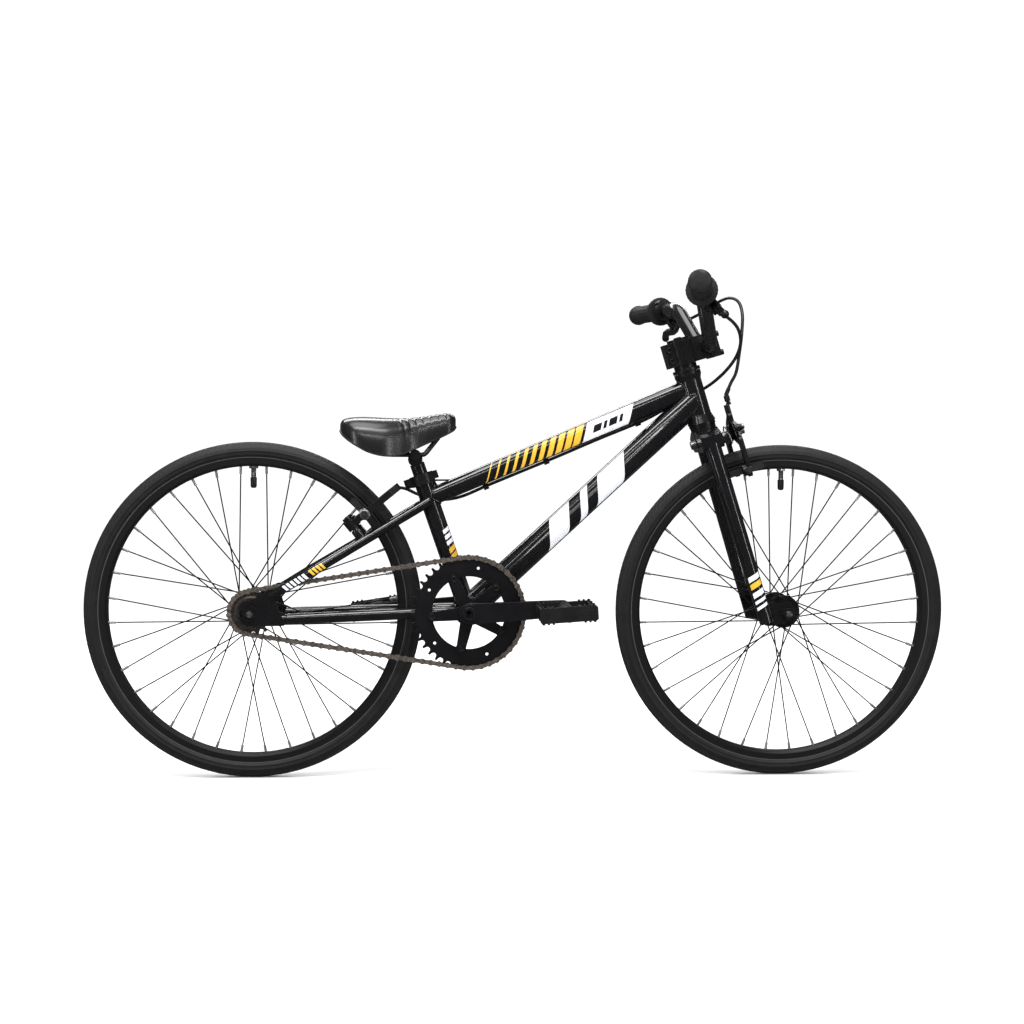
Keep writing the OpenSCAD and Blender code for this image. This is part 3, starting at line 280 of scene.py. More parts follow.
@dataclass(frozen=True)
class Rubber(Finish):
    """Moulded rubber with pores and a dry bloom."""

    pores: float = 900

    def paint(self, sheet: Sheet) -> None:
        """Add bloom and pores."""
        super().paint(sheet)
        height = sheet.noise(self.pores, 4, 0.7) + sheet.cells(self.pores * 0.7) * 0.5
        sheet.set(Specular_IOR_Level=0.35)
        sheet.bump(height, 0.00012, 0.6)


@dataclass(frozen=True)
class TyreRubber(Rubber):
    """Tyre rubber whose tread is dustier than its side walls."""

    axle: tuple[float, float, float] = (0, 0, 0)
    tread_from: float = 0.2465

    def paint(self, sheet: Sheet) -> None:
        """Add a dusty tread over the side walls' mottled rubber."""
        super().paint(sheet)
        out = sheet.radius(Vector(self.axle))
        dust = out.above(self.tread_from, 0.004) * (sheet.noise(160, 4) * 0.7 + 0.3)
        wall = sheet.blend(sheet.noise(60, 3).above(0.5, 0.6), self.dark, self.light)
        tread = sheet.node("ShaderNodeMix", {"data_type": "RGBA"},
                           {0: dust, 6: wall, 7: (0.017, 0.017, 0.0185, 1)}, 2)
        sheet.set(Base_Color=tread)


@dataclass(frozen=True)
class Vinyl(Finish):
    """Glossy embossed vinyl with a fine leather-like grain."""

    def paint(self, sheet: Sheet) -> None:
        """Add the embossed grain."""
        super().paint(sheet)
        grain = sheet.cells(1500, "DISTANCE_TO_EDGE") + sheet.noise(500, 3) * 0.3
        sheet.set(Coat_Weight=0.5, Coat_Roughness=0.2)
        sheet.bump(grain, 0.00006, 0.14)


@dataclass(frozen=True)
class Plastic(Finish):
    """Moulded plastic with a spark-eroded texture."""

    def paint(self, sheet: Sheet) -> None:
        """Add the mould's texture."""
        super().paint(sheet)
        sheet.bump(sheet.noise(1900, 3, 0.7), 0.00008, 0.5)


@dataclass(frozen=True)
class Ink(Finish):
    """A printed film under lacquer, with a slightly uneven lay."""

    def paint(self, sheet: Sheet) -> None:
        """Add the lacquer and a faint print grain."""
        super().paint(sheet)
        sheet.set(Coat_Weight=0.7, Coat_Roughness=0.05)
        sheet.bump(sheet.noise(900, 2), 0.00002, 0.3)


@dataclass(frozen=True)
class BandedMetal(Finish):
    """A wheel part whose colour changes beyond a radius: the spokes' own nipples, and a painted highlight band on the
    rim.
    """

    axle: tuple[float, float, float] = (0, 0, 0)
    beyond: float = 0.2
    # colour beyond the radius: the nipples' own metal on the spokes, a painted highlight on the rim
    band: Colour = (0.3, 0.3, 0.31)

    def paint(self, sheet: Sheet) -> None:
        """Change colour at the radius (the nipples' own colour, and a painted highlight on the rim), with brushed
        grain.
        """
        out = sheet.radius(Vector(self.axle)).above(self.beyond, 0.0006)
        grain = sheet.noise(700, 3)
        body = sheet.blend(grain, self.dark, self.light)
        low, high = self.gloss
        mixed = sheet.node("ShaderNodeMix", {"data_type": "RGBA"}, {0: out, 6: body, 7: (*self.band, 1)}, 2)
        sheet.set(Base_Color=mixed, Roughness=grain * (high - low) + low, Metallic=self.metal)
        sheet.bump(sheet.noise(2200, 2), 0.00003, 0.4)


class Look(Enum):
    """The bicycle's finishes; each value is the finish that the material is made from."""

    PAINT = GlossPaint("gloss_black_paint", (0.0035, 0.0035, 0.0042), (0.006, 0.006, 0.007), (0.16, 0.24))
    ALLOY = SatinAlloy("satin_black_alloy", (0.005, 0.005, 0.0056), (0.009, 0.009, 0.0098), (0.24, 0.36), 0.2)
    CRANK = SatinAlloy("satin_crank_black", (0.0050, 0.0044, 0.0058), (0.0085, 0.0070, 0.0092),
                       (0.26, 0.38), 0.2)
    BAR = GlossPaint("gloss_bar_black", (0.005, 0.005, 0.0055), (0.009, 0.009, 0.010), (0.2, 0.3))
    GRIP = Rubber("grip_rubber", (0.009, 0.009, 0.0095), (0.016, 0.016, 0.017), (0.42, 0.56))
    SHOE = Rubber("brake_rubber", (0.010, 0.010, 0.010), (0.018, 0.018, 0.018), (0.55, 0.7))
    TUBE = Rubber("inner_tube_rubber", (0.010, 0.010, 0.010), (0.016, 0.016, 0.016), (0.5, 0.6), pores=500)
    HOUSING = Plastic("cable_housing", (0.007, 0.007, 0.0075), (0.011, 0.011, 0.012), (0.3, 0.42))
    PEDAL = Plastic("pedal_plastic", (0.006, 0.006, 0.0065), (0.011, 0.011, 0.0118), (0.3, 0.44))
    SHELL = Plastic("saddle_shell", (0.008, 0.008, 0.008), (0.014, 0.014, 0.014), (0.34, 0.46))
    VINYL = Vinyl("saddle_vinyl", (0.0055, 0.0055, 0.006), (0.009, 0.009, 0.0095), (0.26, 0.36))
    CHAIN = OiledSteel("bronze_chain", (0.075, 0.062, 0.052), (0.20, 0.172, 0.148), (0.36, 0.52), 0.55)
    COG = OiledSteel("oiled_freewheel", (0.022, 0.019, 0.017), (0.060, 0.050, 0.043), (0.34, 0.5), 0.5)
    BLACK_STEEL = OiledSteel("black_oxide_steel", (0.010, 0.010, 0.011), (0.022, 0.022, 0.024),
                             (0.3, 0.44), 0.6)
    ZINC = OiledSteel("zinc_steel", (0.20, 0.20, 0.21), (0.42, 0.42, 0.43), (0.24, 0.4), 0.95)
    COPPER = OiledSteel("copper_washer", (0.22, 0.11, 0.06), (0.42, 0.23, 0.12), (0.3, 0.45), 0.9)
    WHITE_INK = Ink("white_ink", (0.72, 0.74, 0.78), (0.80, 0.82, 0.86), (0.28, 0.34))
    GOLD_INK = Ink("gold_ink", (0.72, 0.39, 0.020), (0.83, 0.47, 0.030), (0.28, 0.36))
    DARK_INK = Ink("dark_ink", (0.006, 0.006, 0.007), (0.009, 0.009, 0.010), (0.25, 0.32))


MADE: dict[str, bpy.types.Material] = {}


def material_of(finish: Union[Look, Finish]) -> bpy.types.Material:
    """The material of a finish, made once.

    Args:
        finish: a named look, or a finish with its own sizes.

    Returns:
        The material.
    """
    source = finish.value if isinstance(finish, Look) else finish
    if source.name not in MADE:
        MADE[source.name] = source.make()
    return MADE[source.name]


# ------------------------------------------------------------------ making pieces

@dataclass
class Piece:
    """A mesh with the body that it rides on, its finish and the nodes that it stands for."""

    name: str
    points: list[Vector]
    faces: list[tuple[int, ...]]
    finish: Union[Look, Finish]
    body: str
    slot: str
    stands_for: tuple[str, ...] = ()
    sharp: float = 38.0

    def build(self) -> bpy.types.Object:
        """Make the object, shade it, dress it and let it ride."""
        mesh = bpy.data.meshes.new(self.name)
        mesh.from_pydata([tuple(p) for p in self.points], [], self.faces)
        mesh.validate()
        piece = bpy.data.objects.new(self.name, mesh)
        bpy.context.scene.collection.objects.link(piece)
        mesh.materials.append(material_of(self.finish))
        mesh.shade_smooth()
        mesh.set_sharp_from_angle(angle=math.radians(self.sharp))
        if self.stands_for:
            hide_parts(*self.stands_for)
        if self.body:
            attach(piece, self.body)
        LOG.info("%s: %d faces on %s", self.name, len(self.faces), self.body or "two bodies")
        return piece


def merged(name: str, parts: Sequence[Solid], finish: Union[Look, Finish],
           body: str, slot: str, stands_for: tuple[str, ...] = (), sharp: float = 38.0) -> bpy.types.Object:
    """Build one piece out of several meshes.

    Args:
        name: the piece's name.
        parts: points and faces of each mesh.
        finish: its finish.
        body: the body that it rides on.
        slot: the record's material slot; not used.
        stands_for: the nodes that it replaces.
        sharp: the angle in degrees above which an edge stays sharp.

    Returns:
        The piece.
    """
    points: list[Vector] = []
    faces: list[tuple[int, ...]] = []
    for own_points, own_faces in parts:
        start = len(points)
        points += own_points
        faces += [tuple(i + start for i in face) for face in own_faces]
    return Piece(name, points, faces, finish, body, slot, stands_for, sharp).build()


def dress(finish: Union[Look, Finish], *nodes: str) -> None:
    """Give the named CAD nodes a finish in place of their plain one."""
    for node in nodes:
        mesh = frame["nodes"][node].data
        mesh.materials.clear()
        mesh.materials.append(material_of(finish))
        LOG.info("%s: dressed in %s", node, material_of(finish).name)


def turned(origin: Vector, axis: Vector, profile: Sequence[tuple[float, float]], sides: int = 48,
           shape: Optional[Callable[[int, float], float]] = None) -> Solid:
    """Turn a profile about an axis.

    Args:
        origin: where the profile's first number is zero.
        axis: the direction of the profile's first number.
        profile: pairs of a distance along the axis and a radius, from one end to the other.
        sides: steps round the axis.
        shape: scales the radius by the profile's point number and the angle.

    Returns:
        Points and faces, with both ends closed.
    """
    axis = axis.normalized()
    side = axis.orthogonal().normalized()
    up = axis.cross(side)
    points = []
    for number, (along, radius) in enumerate(profile):
        for k in range(sides):
            turn = math.tau * k / sides
            r = radius * (shape(number, turn) if shape else 1)
            points.append(origin + axis * along + (side * math.cos(turn) + up * math.sin(turn)) * r)
    faces: list[tuple[int, ...]] = []
    for i in range(len(profile) - 1):
        for k in range(sides):
            m = (k + 1) % sides
            faces.append((i * sides + k, i * sides + m, (i + 1) * sides + m, (i + 1) * sides + k))
    faces.append(tuple(reversed(range(sides))))
    faces.append(tuple(range(len(points) - sides, len(points))))
    return points, faces


def hexagon(turn: float) -> float:
    """Radius of a hexagon of unit flat-to-centre distance, at an angle."""
    return 1 / math.cos((turn + math.pi / 6) % (math.pi / 3) - math.pi / 6)


def bolt_head(base: Vector, axis: Vector, radius: float, height: float) -> Solid:
    """A chamfered cap screw head with a hexagonal socket.

    Args:
        base: middle of the face that it seats on.
        axis: the direction in which it stands out.
        radius: of the head.
        height: of the head.

    Returns:
        Points and faces.
    """
    edge = 0.12 * radius
    socket = 0.5 * radius
    profile = [(0, radius), (height - edge, radius), (height, radius - edge), (height, socket * 1.25),
               (height - edge / 2, socket), (height * 0.45, socket)]
    return turned(base, axis, profile, 36, lambda i, a: hexagon(a) if i > 3 else 1.0)


def hex_nut(base: Vector, axis: Vector, flat: float, height: float) -> Solid:
    """A hexagonal nut with rounded corners, standing out along the axis."""
    edge = 0.14 * height
    profile = [(0, flat), (height - edge, flat), (height, flat * 0.93), (height, flat * 0.6)]

    def corner(number: int, turn: float) -> float:
        """Hexagonal below the chamfer and round above it."""
        return min(hexagon(turn), 1.13) if number < 2 else 1.0

    return turned(base, axis, profile, 48, corner)


def smooth_line(route: Sequence[Vector], steps: int) -> list[Vector]:
    """A smooth curve through the route's points, with so many steps between each two."""
    last = len(route) - 1
    points = []
    for i in range(last):
        a, b = route[max(i - 1, 0)], route[i]
        c, d = route[i + 1], route[min(i + 2, last)]
        for j in range(steps):
            t = j / steps
            points.append(0.5 * (2 * b + (c - a) * t + (2 * a - 5 * b + 4 * c - d) * t * t
                                 + (3 * b - a - 3 * c + d) * t ** 3))
    return points + [route[last].copy()]


@dataclass
class Cope:
    """A round tube that another tube's end is cut to fit."""

    point: Vector
    axis: Vector
    radius: float

    def reach(self, start: Vector, along: Vector, near: bool) -> float:
        """How far along a line its crossing with this tube is.

        Args:
            start: a point of the line.
            along: the line's direction.
            near: whether the first crossing is wanted, and not the last.

        Returns:
            The distance, or that of the closest approach if they miss.
        """
        off = start - self.point
        off = off - self.axis * off.dot(self.axis)
        run = along - self.axis * along.dot(self.axis)
        a, b, c = run.dot(run), off.dot(run), off.dot(off) - self.radius ** 2
        root = math.sqrt(max(b * b - a * c, 0))
        return (-b - root) / a if near else (-b + root) / a


@dataclass
class Sweep:
    """A tube swept along a line, whose radius can change along it and round it."""

    line: list[Vector]
    radius: Radius
    sides: int = 40
    start: Optional[Cope] = None
    end: Optional[Cope] = None

    def __post_init__(self) -> None:
        """Work out the line's length at each point and the axes there."""
        self.at = [0.0]
        for a, b in zip(self.line, self.line[1:]):
            self.at.append(self.at[-1] + (b - a).length)
        self.length = self.at[-1]
        self.axes = []
        side = None
        for i in range(len(self.line)):
            along = (self.line[min(i + 1, len(self.line) - 1)] - self.line[max(i - 1, 0)]).normalized()
            hint = Vector((0, -1, 0)) if side is None else side
            if side is None and abs(along.y) > 0.9:
                hint = Vector((1, 0, 0))
            side = (hint - along * hint.dot(along)).normalized()
            self.axes.append((along, side, along.cross(side)))

    def spot(self, share: float, turn: float, lift: float = 0.0) -> Vector:
        """A point of the surface.

        Args:
            share: how far along the line, from 0 to 1.
            turn: angle round it; 0 faces the rider's right.
            lift: how far it stands off the surface.

        Returns:
            The point.
        """
        target = min(max(share, 0.0), 1.0) * self.length
        i = max(k for k in range(len(self.at) - 1) if self.at[k] <= target + 1e-12)
        t = (target - self.at[i]) / max(self.at[i + 1] - self.at[i], 1e-12)
        middle = self.line[i].lerp(self.line[i + 1], t)
        side = self.axes[i][1].lerp(self.axes[i + 1][1], t).normalized()
        up = self.axes[i][2].lerp(self.axes[i + 1][2], t).normalized()
        r = self.radius(share, turn) + lift
        return middle + (side * math.cos(turn) + up * math.sin(turn)) * r

    def mesh(self) -> Solid:
        """The tube's points and faces, its ends closed and cut to fit."""
        points = []
        last = len(self.line) - 1
        for i, (middle, (along, side, up)) in enumerate(zip(self.line, self.axes)):
            for k in range(self.sides):
                turn = math.tau * k / self.sides
                r = self.radius(self.at[i] / self.length, turn)
                point = middle + (side * math.cos(turn) + up * math.sin(turn)) * r
                if i == 0 and self.start:
                    point = point + along * self.start.reach(point, along, near=False)
                if i == last and self.end:
                    point = point + along * self.end.reach(point, along, near=True)
                points.append(point)
        faces: list[tuple[int, ...]] = []
        for i in range(last):
            for k in range(self.sides):
                m = (k + 1) % self.sides
                faces.append((i * self.sides + k, i * self.sides + m, (i + 1) * self.sides + m,
                              (i + 1) * self.sides + k))
        for ring in (0, last):
            rim = list(range(ring * self.sides, (ring + 1) * self.sides))
            points.append(sum((points[k] for k in rim), Vector()) / self.sides)
            hub = len(points) - 1
            for k in range(self.sides):
                pair = (rim[k], rim[(k + 1) % self.sides])
                faces.append((hub, pair[1], pair[0]) if ring == 0 else (hub, *pair))
        return points, faces

    def patch(self, span: tuple[float, float], turns: tuple[float, float], slant: float = 0.0,
              lift: float = 0.00016) -> Solid:
        """A slanted patch of printed film on the surface.

        Args:
            span: shares of the length where it starts and ends.
            turns: angles in degrees between which it lies.
            slant: how far its upper edge leans along the tube, in shares of its length.
            lift: its thickness.

        Returns:
            Points and faces.
        """
        steps_long = max(2, round((span[1] - span[0]) * self.length / 0.004))
        steps_round = max(4, round(abs(turns[1] - turns[0]) / 5))
        points = []
        for i in range(steps_long + 1):
            for k in range(steps_round + 1):
                v = k / steps_round
                share = span[0] + (span[1] - span[0]) * i / steps_long + slant * (v - 0.5)
                points.append(self.spot(share, math.radians(turns[0] + (turns[1] - turns[0]) * v), lift))
        wide = steps_round + 1
        faces = [(i * wide + k, (i + 1) * wide + k, (i + 1) * wide + k + 1, i * wide + k + 1)
                 for i in range(steps_long) for k in range(steps_round)]
        return points, faces


def rod(a: Vector, b: Vector, radius: Union[float, Radius], sides: int = 24, steps: int = 1,
        **cut: Cope) -> Sweep:
    """A straight tube from a to b, of one radius or a changing one."""
    line = [a.lerp(b, i / steps) for i in range(steps + 1)]
    shape = radius if callable(radius) else (lambda share, turn: radius)
    return Sweep(line, shape, sides, **cut)


def weld_bead(tube: Sweep, onto: Cope, near: bool, size: float = 0.0017) -> Solid:
    """A rippled weld round the place where a tube meets another.

    Args:
        tube: the tube that ends there.
        onto: the tube that it meets, at its outer surface.
        near: whether the weld is at the tube's far end, where the first crossing counts.
        size: the bead's radius.

    Returns:
        Points and faces of a closed ring.
    """
    rings, sides, ripple = 180, 8, 0.22
    share, end = (1.0, -1) if near else (0.0, 0)
    along = tube.axes[end][0]
    loop = []
    for k in range(rings):
        point = tube.spot(share, math.tau * k / rings)
        loop.append(point + along * onto.reach(point, along, near))
    points, faces = [], []
    for k, middle in enumerate(loop):
        run = (loop[(k + 1) % rings] - loop[k - 1]).normalized()
        out = middle - tube.line[end]
        out = (out - run * out.dot(run)).normalized()
        across = run.cross(out)
        r = size * (1 + ripple * math.cos(math.tau * k / 3))
        for j in range(sides):
            turn = math.tau * j / sides
            points.append(middle + (out * math.cos(turn) + across * math.sin(turn)) * r)
    for k in range(rings):
        n = (k + 1) % rings
        for j in range(sides):
            m = (j + 1) % sides
            faces.append((k * sides + j, k * sides + m, n * sides + m, n * sides + j))
    return points, faces


def plate(outline: Sequence[Vector], hole: Sequence[Vector], thick: float) -> Solid:
    """A flat plate in the bicycle's middle plane, with a hole of as many corners as its outline."""
    count = len(outline)
    points = [Vector((p.x, y, p.z)) for y in (-thick / 2, thick / 2)
              for ring in (outline, hole) for p in ring]
    faces: list[tuple[int, ...]] = []
    for k in range(count):
        m = (k + 1) % count
        faces += [(k, m, count + m, count + k), (2 * count + m, 2 * count + k, 3 * count + k, 3 * count + m),
                  (m, k, 2 * count + k, 2 * count + m), (count + k, count + m, 3 * count + m, 3 * count + k)]
    return points, faces


# ------------------------------------------------------------------ where things are

def joint(name: str) -> dict:
    """A joint of the record, by name."""
    return next(j for j in frame["joints"] if j["name"] == name)


class Datum:
    """The bicycle's own axes and centres, read from its joints."""

    front_axle = Vector(joint("front_wheel_spin")["pos_m"])
    rear_axle = Vector(joint("rear_wheel_spin")["pos_m"])
    bracket = Vector(joint("crank_spin")["pos_m"])
    steer_up = Vector(joint("steer")["axis"])
    steer_ahead = Vector((steer_up.z, 0, -steer_up.x))
    seat_up = Vector(joint("seat_height")["axis"])
    seat_ahead = Vector((seat_up.z, 0, -seat_up.x))
    rake = 34 * MM
    steer_foot = front_axle - steer_ahead * rake

    @classmethod
    def on_steer(cls, ahead: float, left: float, up: float) -> Vector:
        """A point in the steering axis's own frame, in millimetres."""
        return cls.steer_foot + (cls.steer_ahead * ahead + Vector((0, left, 0)) + cls.steer_up * up) * MM

    @classmethod
    def on_seat(cls, up: float, ahead: float = 0.0, left: float = 0.0) -> Vector:
        """A point in the seat tube's own frame, in millimetres from the bottom bracket."""
        return cls.bracket + (cls.seat_up * up + cls.seat_ahead * ahead + Vector((0, left, 0))) * MM


# ------------------------------------------------------------------ frame

@dataclass
class FrameTubes:
    """The welded frame: its formed tubes, stays, gussets, welds and printed marks."""

    down_r: float = 20 * MM
    top_r: float = 13.5 * MM
    top_swell: float = 2.6 * MM
    seat_r: float = 14 * MM
    head_r: float = 18 * MM
    shell_r: float = 21 * MM
    stay_r: float = 7.5 * MM
    chain_stay_r: float = 8.5 * MM
    sink: float = 1.2 * MM
    lean: float = -0.045

    def __post_init__(self) -> None:
        """Lay out the tubes."""
        d = Datum
        self.head = Cope(d.steer_foot, d.steer_up, self.head_r)
        self.seat = Cope(d.bracket, d.seat_up, self.seat_r)
        self.shell = Cope(d.bracket, Vector((0, 1, 0)), self.shell_r)
        top = (d.on_seat(180), d.on_steer(0, 0, 365.5))
        down = (d.bracket, d.on_steer(0, 0, 346.5))
        self.top_tube = rod(*top, self.top_section, 56, 26,
                            start=self.inside(self.seat), end=self.inside(self.head))
        self.down_tube = rod(*down, self.down_section, 64, 32, start=self.inside(self.shell),
                             end=self.inside(self.head))
        self.seat_tube = rod(d.on_seat(0), d.on_seat(202), self.seat_r, 56, 8, start=self.inside(self.shell))
        self.stays = {side: self.seat_stay(side) for side in (-1, 1)}
        self.chain_stays = {side: self.chain_stay(side) for side in (-1, 1)}

    def inside(self, cope: Cope) -> Cope:
        """The same tube a little thinner, so that an end sinks into its wall."""
        return Cope(cope.point, cope.axis, cope.radius - self.sink)

    def top_section(self, share: float, turn: float) -> float:
        """Round at the seat and deeper towards the head, with flattened sides."""
        deep = self.top_swell * share * abs(math.sin(turn)) ** 1.5
        flat = 0.045 * math.sin(math.pi * share) * (1 - abs(math.cos(2 * turn)) ** 0.7)
        return (self.top_r + deep) * (1 + flat - 0.02 * math.sin(math.pi * share))

    def down_section(self, share: float, turn: float) -> float:
        """A formed tube: round at its ends, with four soft creases between."""
        form = math.sin(math.pi * min(max((share - 0.08) / 0.86, 0), 1)) ** 0.6
        crease = 1 - abs(math.sin(2 * (turn + 0.32))) ** 0.6
        return self.down_r * (1 - form * (0.105 - 0.12 * (1 - crease)))

    def seat_stay(self, side: int) -> Sweep:
        """A stay that runs straight past the chain and then bends in to the seat tube."""
        low = Datum.rear_axle + Vector((30, side * 59.5, 25.3)) * MM
        high = Datum.on_seat(176, 0, side * 19)
        middle = low + (high - low) * 0.26
        middle.y = side * 59 * MM
        knots = [low, low.lerp(middle, 0.6), middle, middle.lerp(high, 0.16), middle.lerp(high, 0.5), high]
        return Sweep(smooth_line(knots, 8), self.stay_section, 32)

    def stay_section(self, share: float, turn: float) -> float:
        """Oval in the middle of the stay, narrower at the dropout."""
        taper = 0.86 + 0.14 * min(share / 0.2, 1)
        return self.stay_r * taper * (1 + 0.05 * math.sin(math.pi * share) * math.cos(2 * turn))

    def chain_stay(self, side: int) -> Sweep:
        """A chain stay, dimpled beside the tyre."""
        low = Datum.rear_axle + Vector((46, side * 54, -9)) * MM
        high = Datum.bracket + Vector((-6, side * 27, 0.5)) * MM

        def section(share: float, turn: float) -> float:
            """Taller than wide beside the tyre."""
            return self.chain_stay_r * (0.95 + 0.05 * math.sin(turn) ** 2 * math.sin(math.pi * share))

        return rod(low, high, section, 32, 20, end=self.inside(self.shell))

    def build(self) -> None:
        """Build the tubes, welds, gussets and marks."""
        pair = (self.top_tube, "top_tube"), (self.down_tube, "down_tube")
        for tube, node in pair:
            Piece(f"{node}_formed", *tube.mesh(), Look.PAINT, "frame", "frame_paint", sharp=50).build()
        merged("chain_stay_pair", [s.mesh() for s in self.chain_stays.values()] + [self.yoke()], Look.PAINT,
               "frame", "frame_paint")
        self.build_stays()
        self.build_guides()
        self.build_welds()
        self.build_gussets()
        self.build_marks()
        dress(Look.PAINT, "head_tube", "seat_tube", "bottom_bracket_shell", "rear_dropouts")
        dress(Look.ALLOY, "headset_cups", "seat_clamp", "headset_bearings", "stem_cap")
        dress(Look.BLACK_STEEL, "bottom_bracket_cups", "rear_axle_nuts", "front_axle_nuts")
        dress(Look.ZINC, "rear_axle", "front_axle")

    def yoke(self) -> Solid:
        """The cross tube between the chain stays."""
        middle = Datum.bracket + Vector((-50, 0, -0.5)) * MM
        half = Vector((0, 29, 0)) * MM
        return rod(middle - half, middle + half, 6.5 * MM, 28, 4).mesh()

    def build_stays(self) -> None:
        """The seat stays with their bridge and brake studs."""
        parts = [s.mesh() for s in self.stays.values()]
        bridge_at = 0.862
        bridge = self.stays[1].spot(bridge_at, 0).lerp(self.stays[1].spot(bridge_at, math.pi), 0.5)
        across = Vector((0, bridge.y, 0))
        centre = Vector((bridge.x, 0, bridge.z))
        parts.append(rod(centre - across, centre + across, 5.5 * MM, 28, 4).mesh())
        for arm, side in (("left_v_arm", 1), ("right_v_arm", -1)):
            pivot = Vector(joint(arm)["pos_m"])
            out = Vector(joint(arm)["axis"]) * -side
            foot = pivot - out * 30 * MM
            parts.append(turned(foot, out, [(0, 0.0085), (0.018, 0.0082), (0.0212, 0.0072), (0.0212, 0.004),
                                            (0.0385, 0.004)], 40))
            parts.append(bolt_head(foot + out * 38.5 * MM, out, 0.007, 0.005))
        merged("seat_stay_pair", parts, Look.PAINT, "frame", "frame_paint", ("seat_stays",))

    def build_guides(self) -> None:
        """Cable guides welded under the top tube, standing for its CAD node with the formed tube."""
        parts = []
        along = self.top_tube.axes[0][0]
        down = Vector((along.z, 0, -along.x))
        for share in (0.2, 0.43, 0.78):
            middle = self.top_tube.line[0].lerp(self.top_tube.line[-1], share)
            eye = middle + down * 17.5 * MM + Vector((0, 12, 0)) * MM
            ring = [(-0.004, 0.0036), (-0.004, 0.0052), (0.004, 0.0052), (0.004, 0.0036)]
            parts.append(turned(eye, along, ring + ring[:1], 28))
            foot = middle + down * 11 * MM + Vector((0, 8, 0)) * MM
            parts.append(rod(foot, eye - down * 4.4 * MM, 2.4 * MM, 16).mesh())
        merged("cable_guides", parts, Look.PAINT, "frame", "frame_paint",
               ("top_tube", "down_tube", "chain_stays"))

    def build_welds(self) -> None:
        """Rippled weld beads at the main joints."""
        beads = [weld_bead(self.top_tube, self.head, True), weld_bead(self.top_tube, self.seat, False),
                 weld_bead(self.down_tube, self.head, True), weld_bead(self.down_tube, self.shell, False),
                 weld_bead(self.seat_tube, self.shell, False)]
        beads += [weld_bead(s, self.shell, True, 1.2 * MM) for s in self.chain_stays.values()]
        merged("frame_welds", beads, Look.PAINT, "frame", "frame_paint", sharp=80)

    def build_gussets(self) -> None:
        """Plates that brace the seat tube's top and the head tube."""
        d = Datum
        low, high = d.on_seat(188, 10), d.on_seat(205, 11)
        along = self.top_tube.axes[0][0]
        tip = self.top_tube.line[0] + along * 50 * MM + Vector((-along.z, 0, along.x)) * 10 * MM
        seat_plate = [low + Vector((0.006, 0, 0)), high, high.lerp(tip, 0.12) + d.seat_up * 0.001, tip]
        middle = sum(seat_plate, Vector()) / 4
        inner = [p.lerp(middle, 0.55) for p in seat_plate]
        top, foot = d.on_steer(-15, 0, 352), d.on_steer(-15, 0, 339)
        back = d.on_steer(-46, 0, 333)
        head_plate = [top, foot, back, back.lerp(top, 0.3)]
        centre = sum(head_plate, Vector()) / 4
        parts = [plate(seat_plate, inner, 5 * MM),
                 plate(head_plate, [p.lerp(centre, 0.6) for p in head_plate], 5 * MM)]
        merged("frame_gussets", parts, Look.PAINT, "frame", "frame_paint")

    def build_marks(self) -> None:
        """Printed bars and blocks on both sides of the tubes."""
        white, gold, dark = [], [], []
        for flip in (1, -1):
            turns = (-58, 58) if flip > 0 else (238, 122)
            for k in range(11):
                start = 0.225 + 0.0325 * k
                gold.append(self.top_tube.patch((start, start + 0.005 + 0.0023 * k), turns, self.lean))
            white.append(self.top_tube.patch((0.590, 0.765), turns, self.lean))
            inner = (-22, 20) if flip > 0 else (202, 160)
            dark += [self.top_tube.patch((s, s + w), inner, self.lean / 3, 0.0003)
                     for s, w in ((0.622, 0.030), (0.661, 0.012), (0.682, 0.030), (0.721, 0.012))]
            full = (-60, 64) if flip > 0 else (240, 116)
            white += [self.down_tube.patch((s, s + w), full, 1.6 * self.lean)
                      for s, w in ((0.355, 0.085), (0.490, 0.030), (0.565, 0.115))]
            band = (14, 72) if flip > 0 else (166, 108)
            white += [self.seat_tube.patch((s, s + 0.030), band, 0.02) for s in (0.52, 0.565, 0.61)]
            gold += [self.seat_tube.patch((s, s + 0.038), band, 0.03) for s in (0.41, 0.46)]
            stay = self.stays[-flip]
            mark = (-38, 44) if flip > 0 else (218, 136)
            white += [stay.patch((0.085 + 0.024 * k, 0.100 + 0.024 * k), mark, 0.012) for k in range(6)]
            gold += [stay.patch((0.245 + 0.021 * k, 0.258 + 0.021 * k), mark, 0.012) for k in range(4)]
        merged("white_marks", white, Look.WHITE_INK, "frame", "frame_paint")
        merged("gold_marks", gold, Look.GOLD_INK, "frame", "frame_paint")
        merged("dark_marks", dark, Look.DARK_INK, "frame", "frame_paint")


# ------------------------------------------------------------------ fork and cockpit

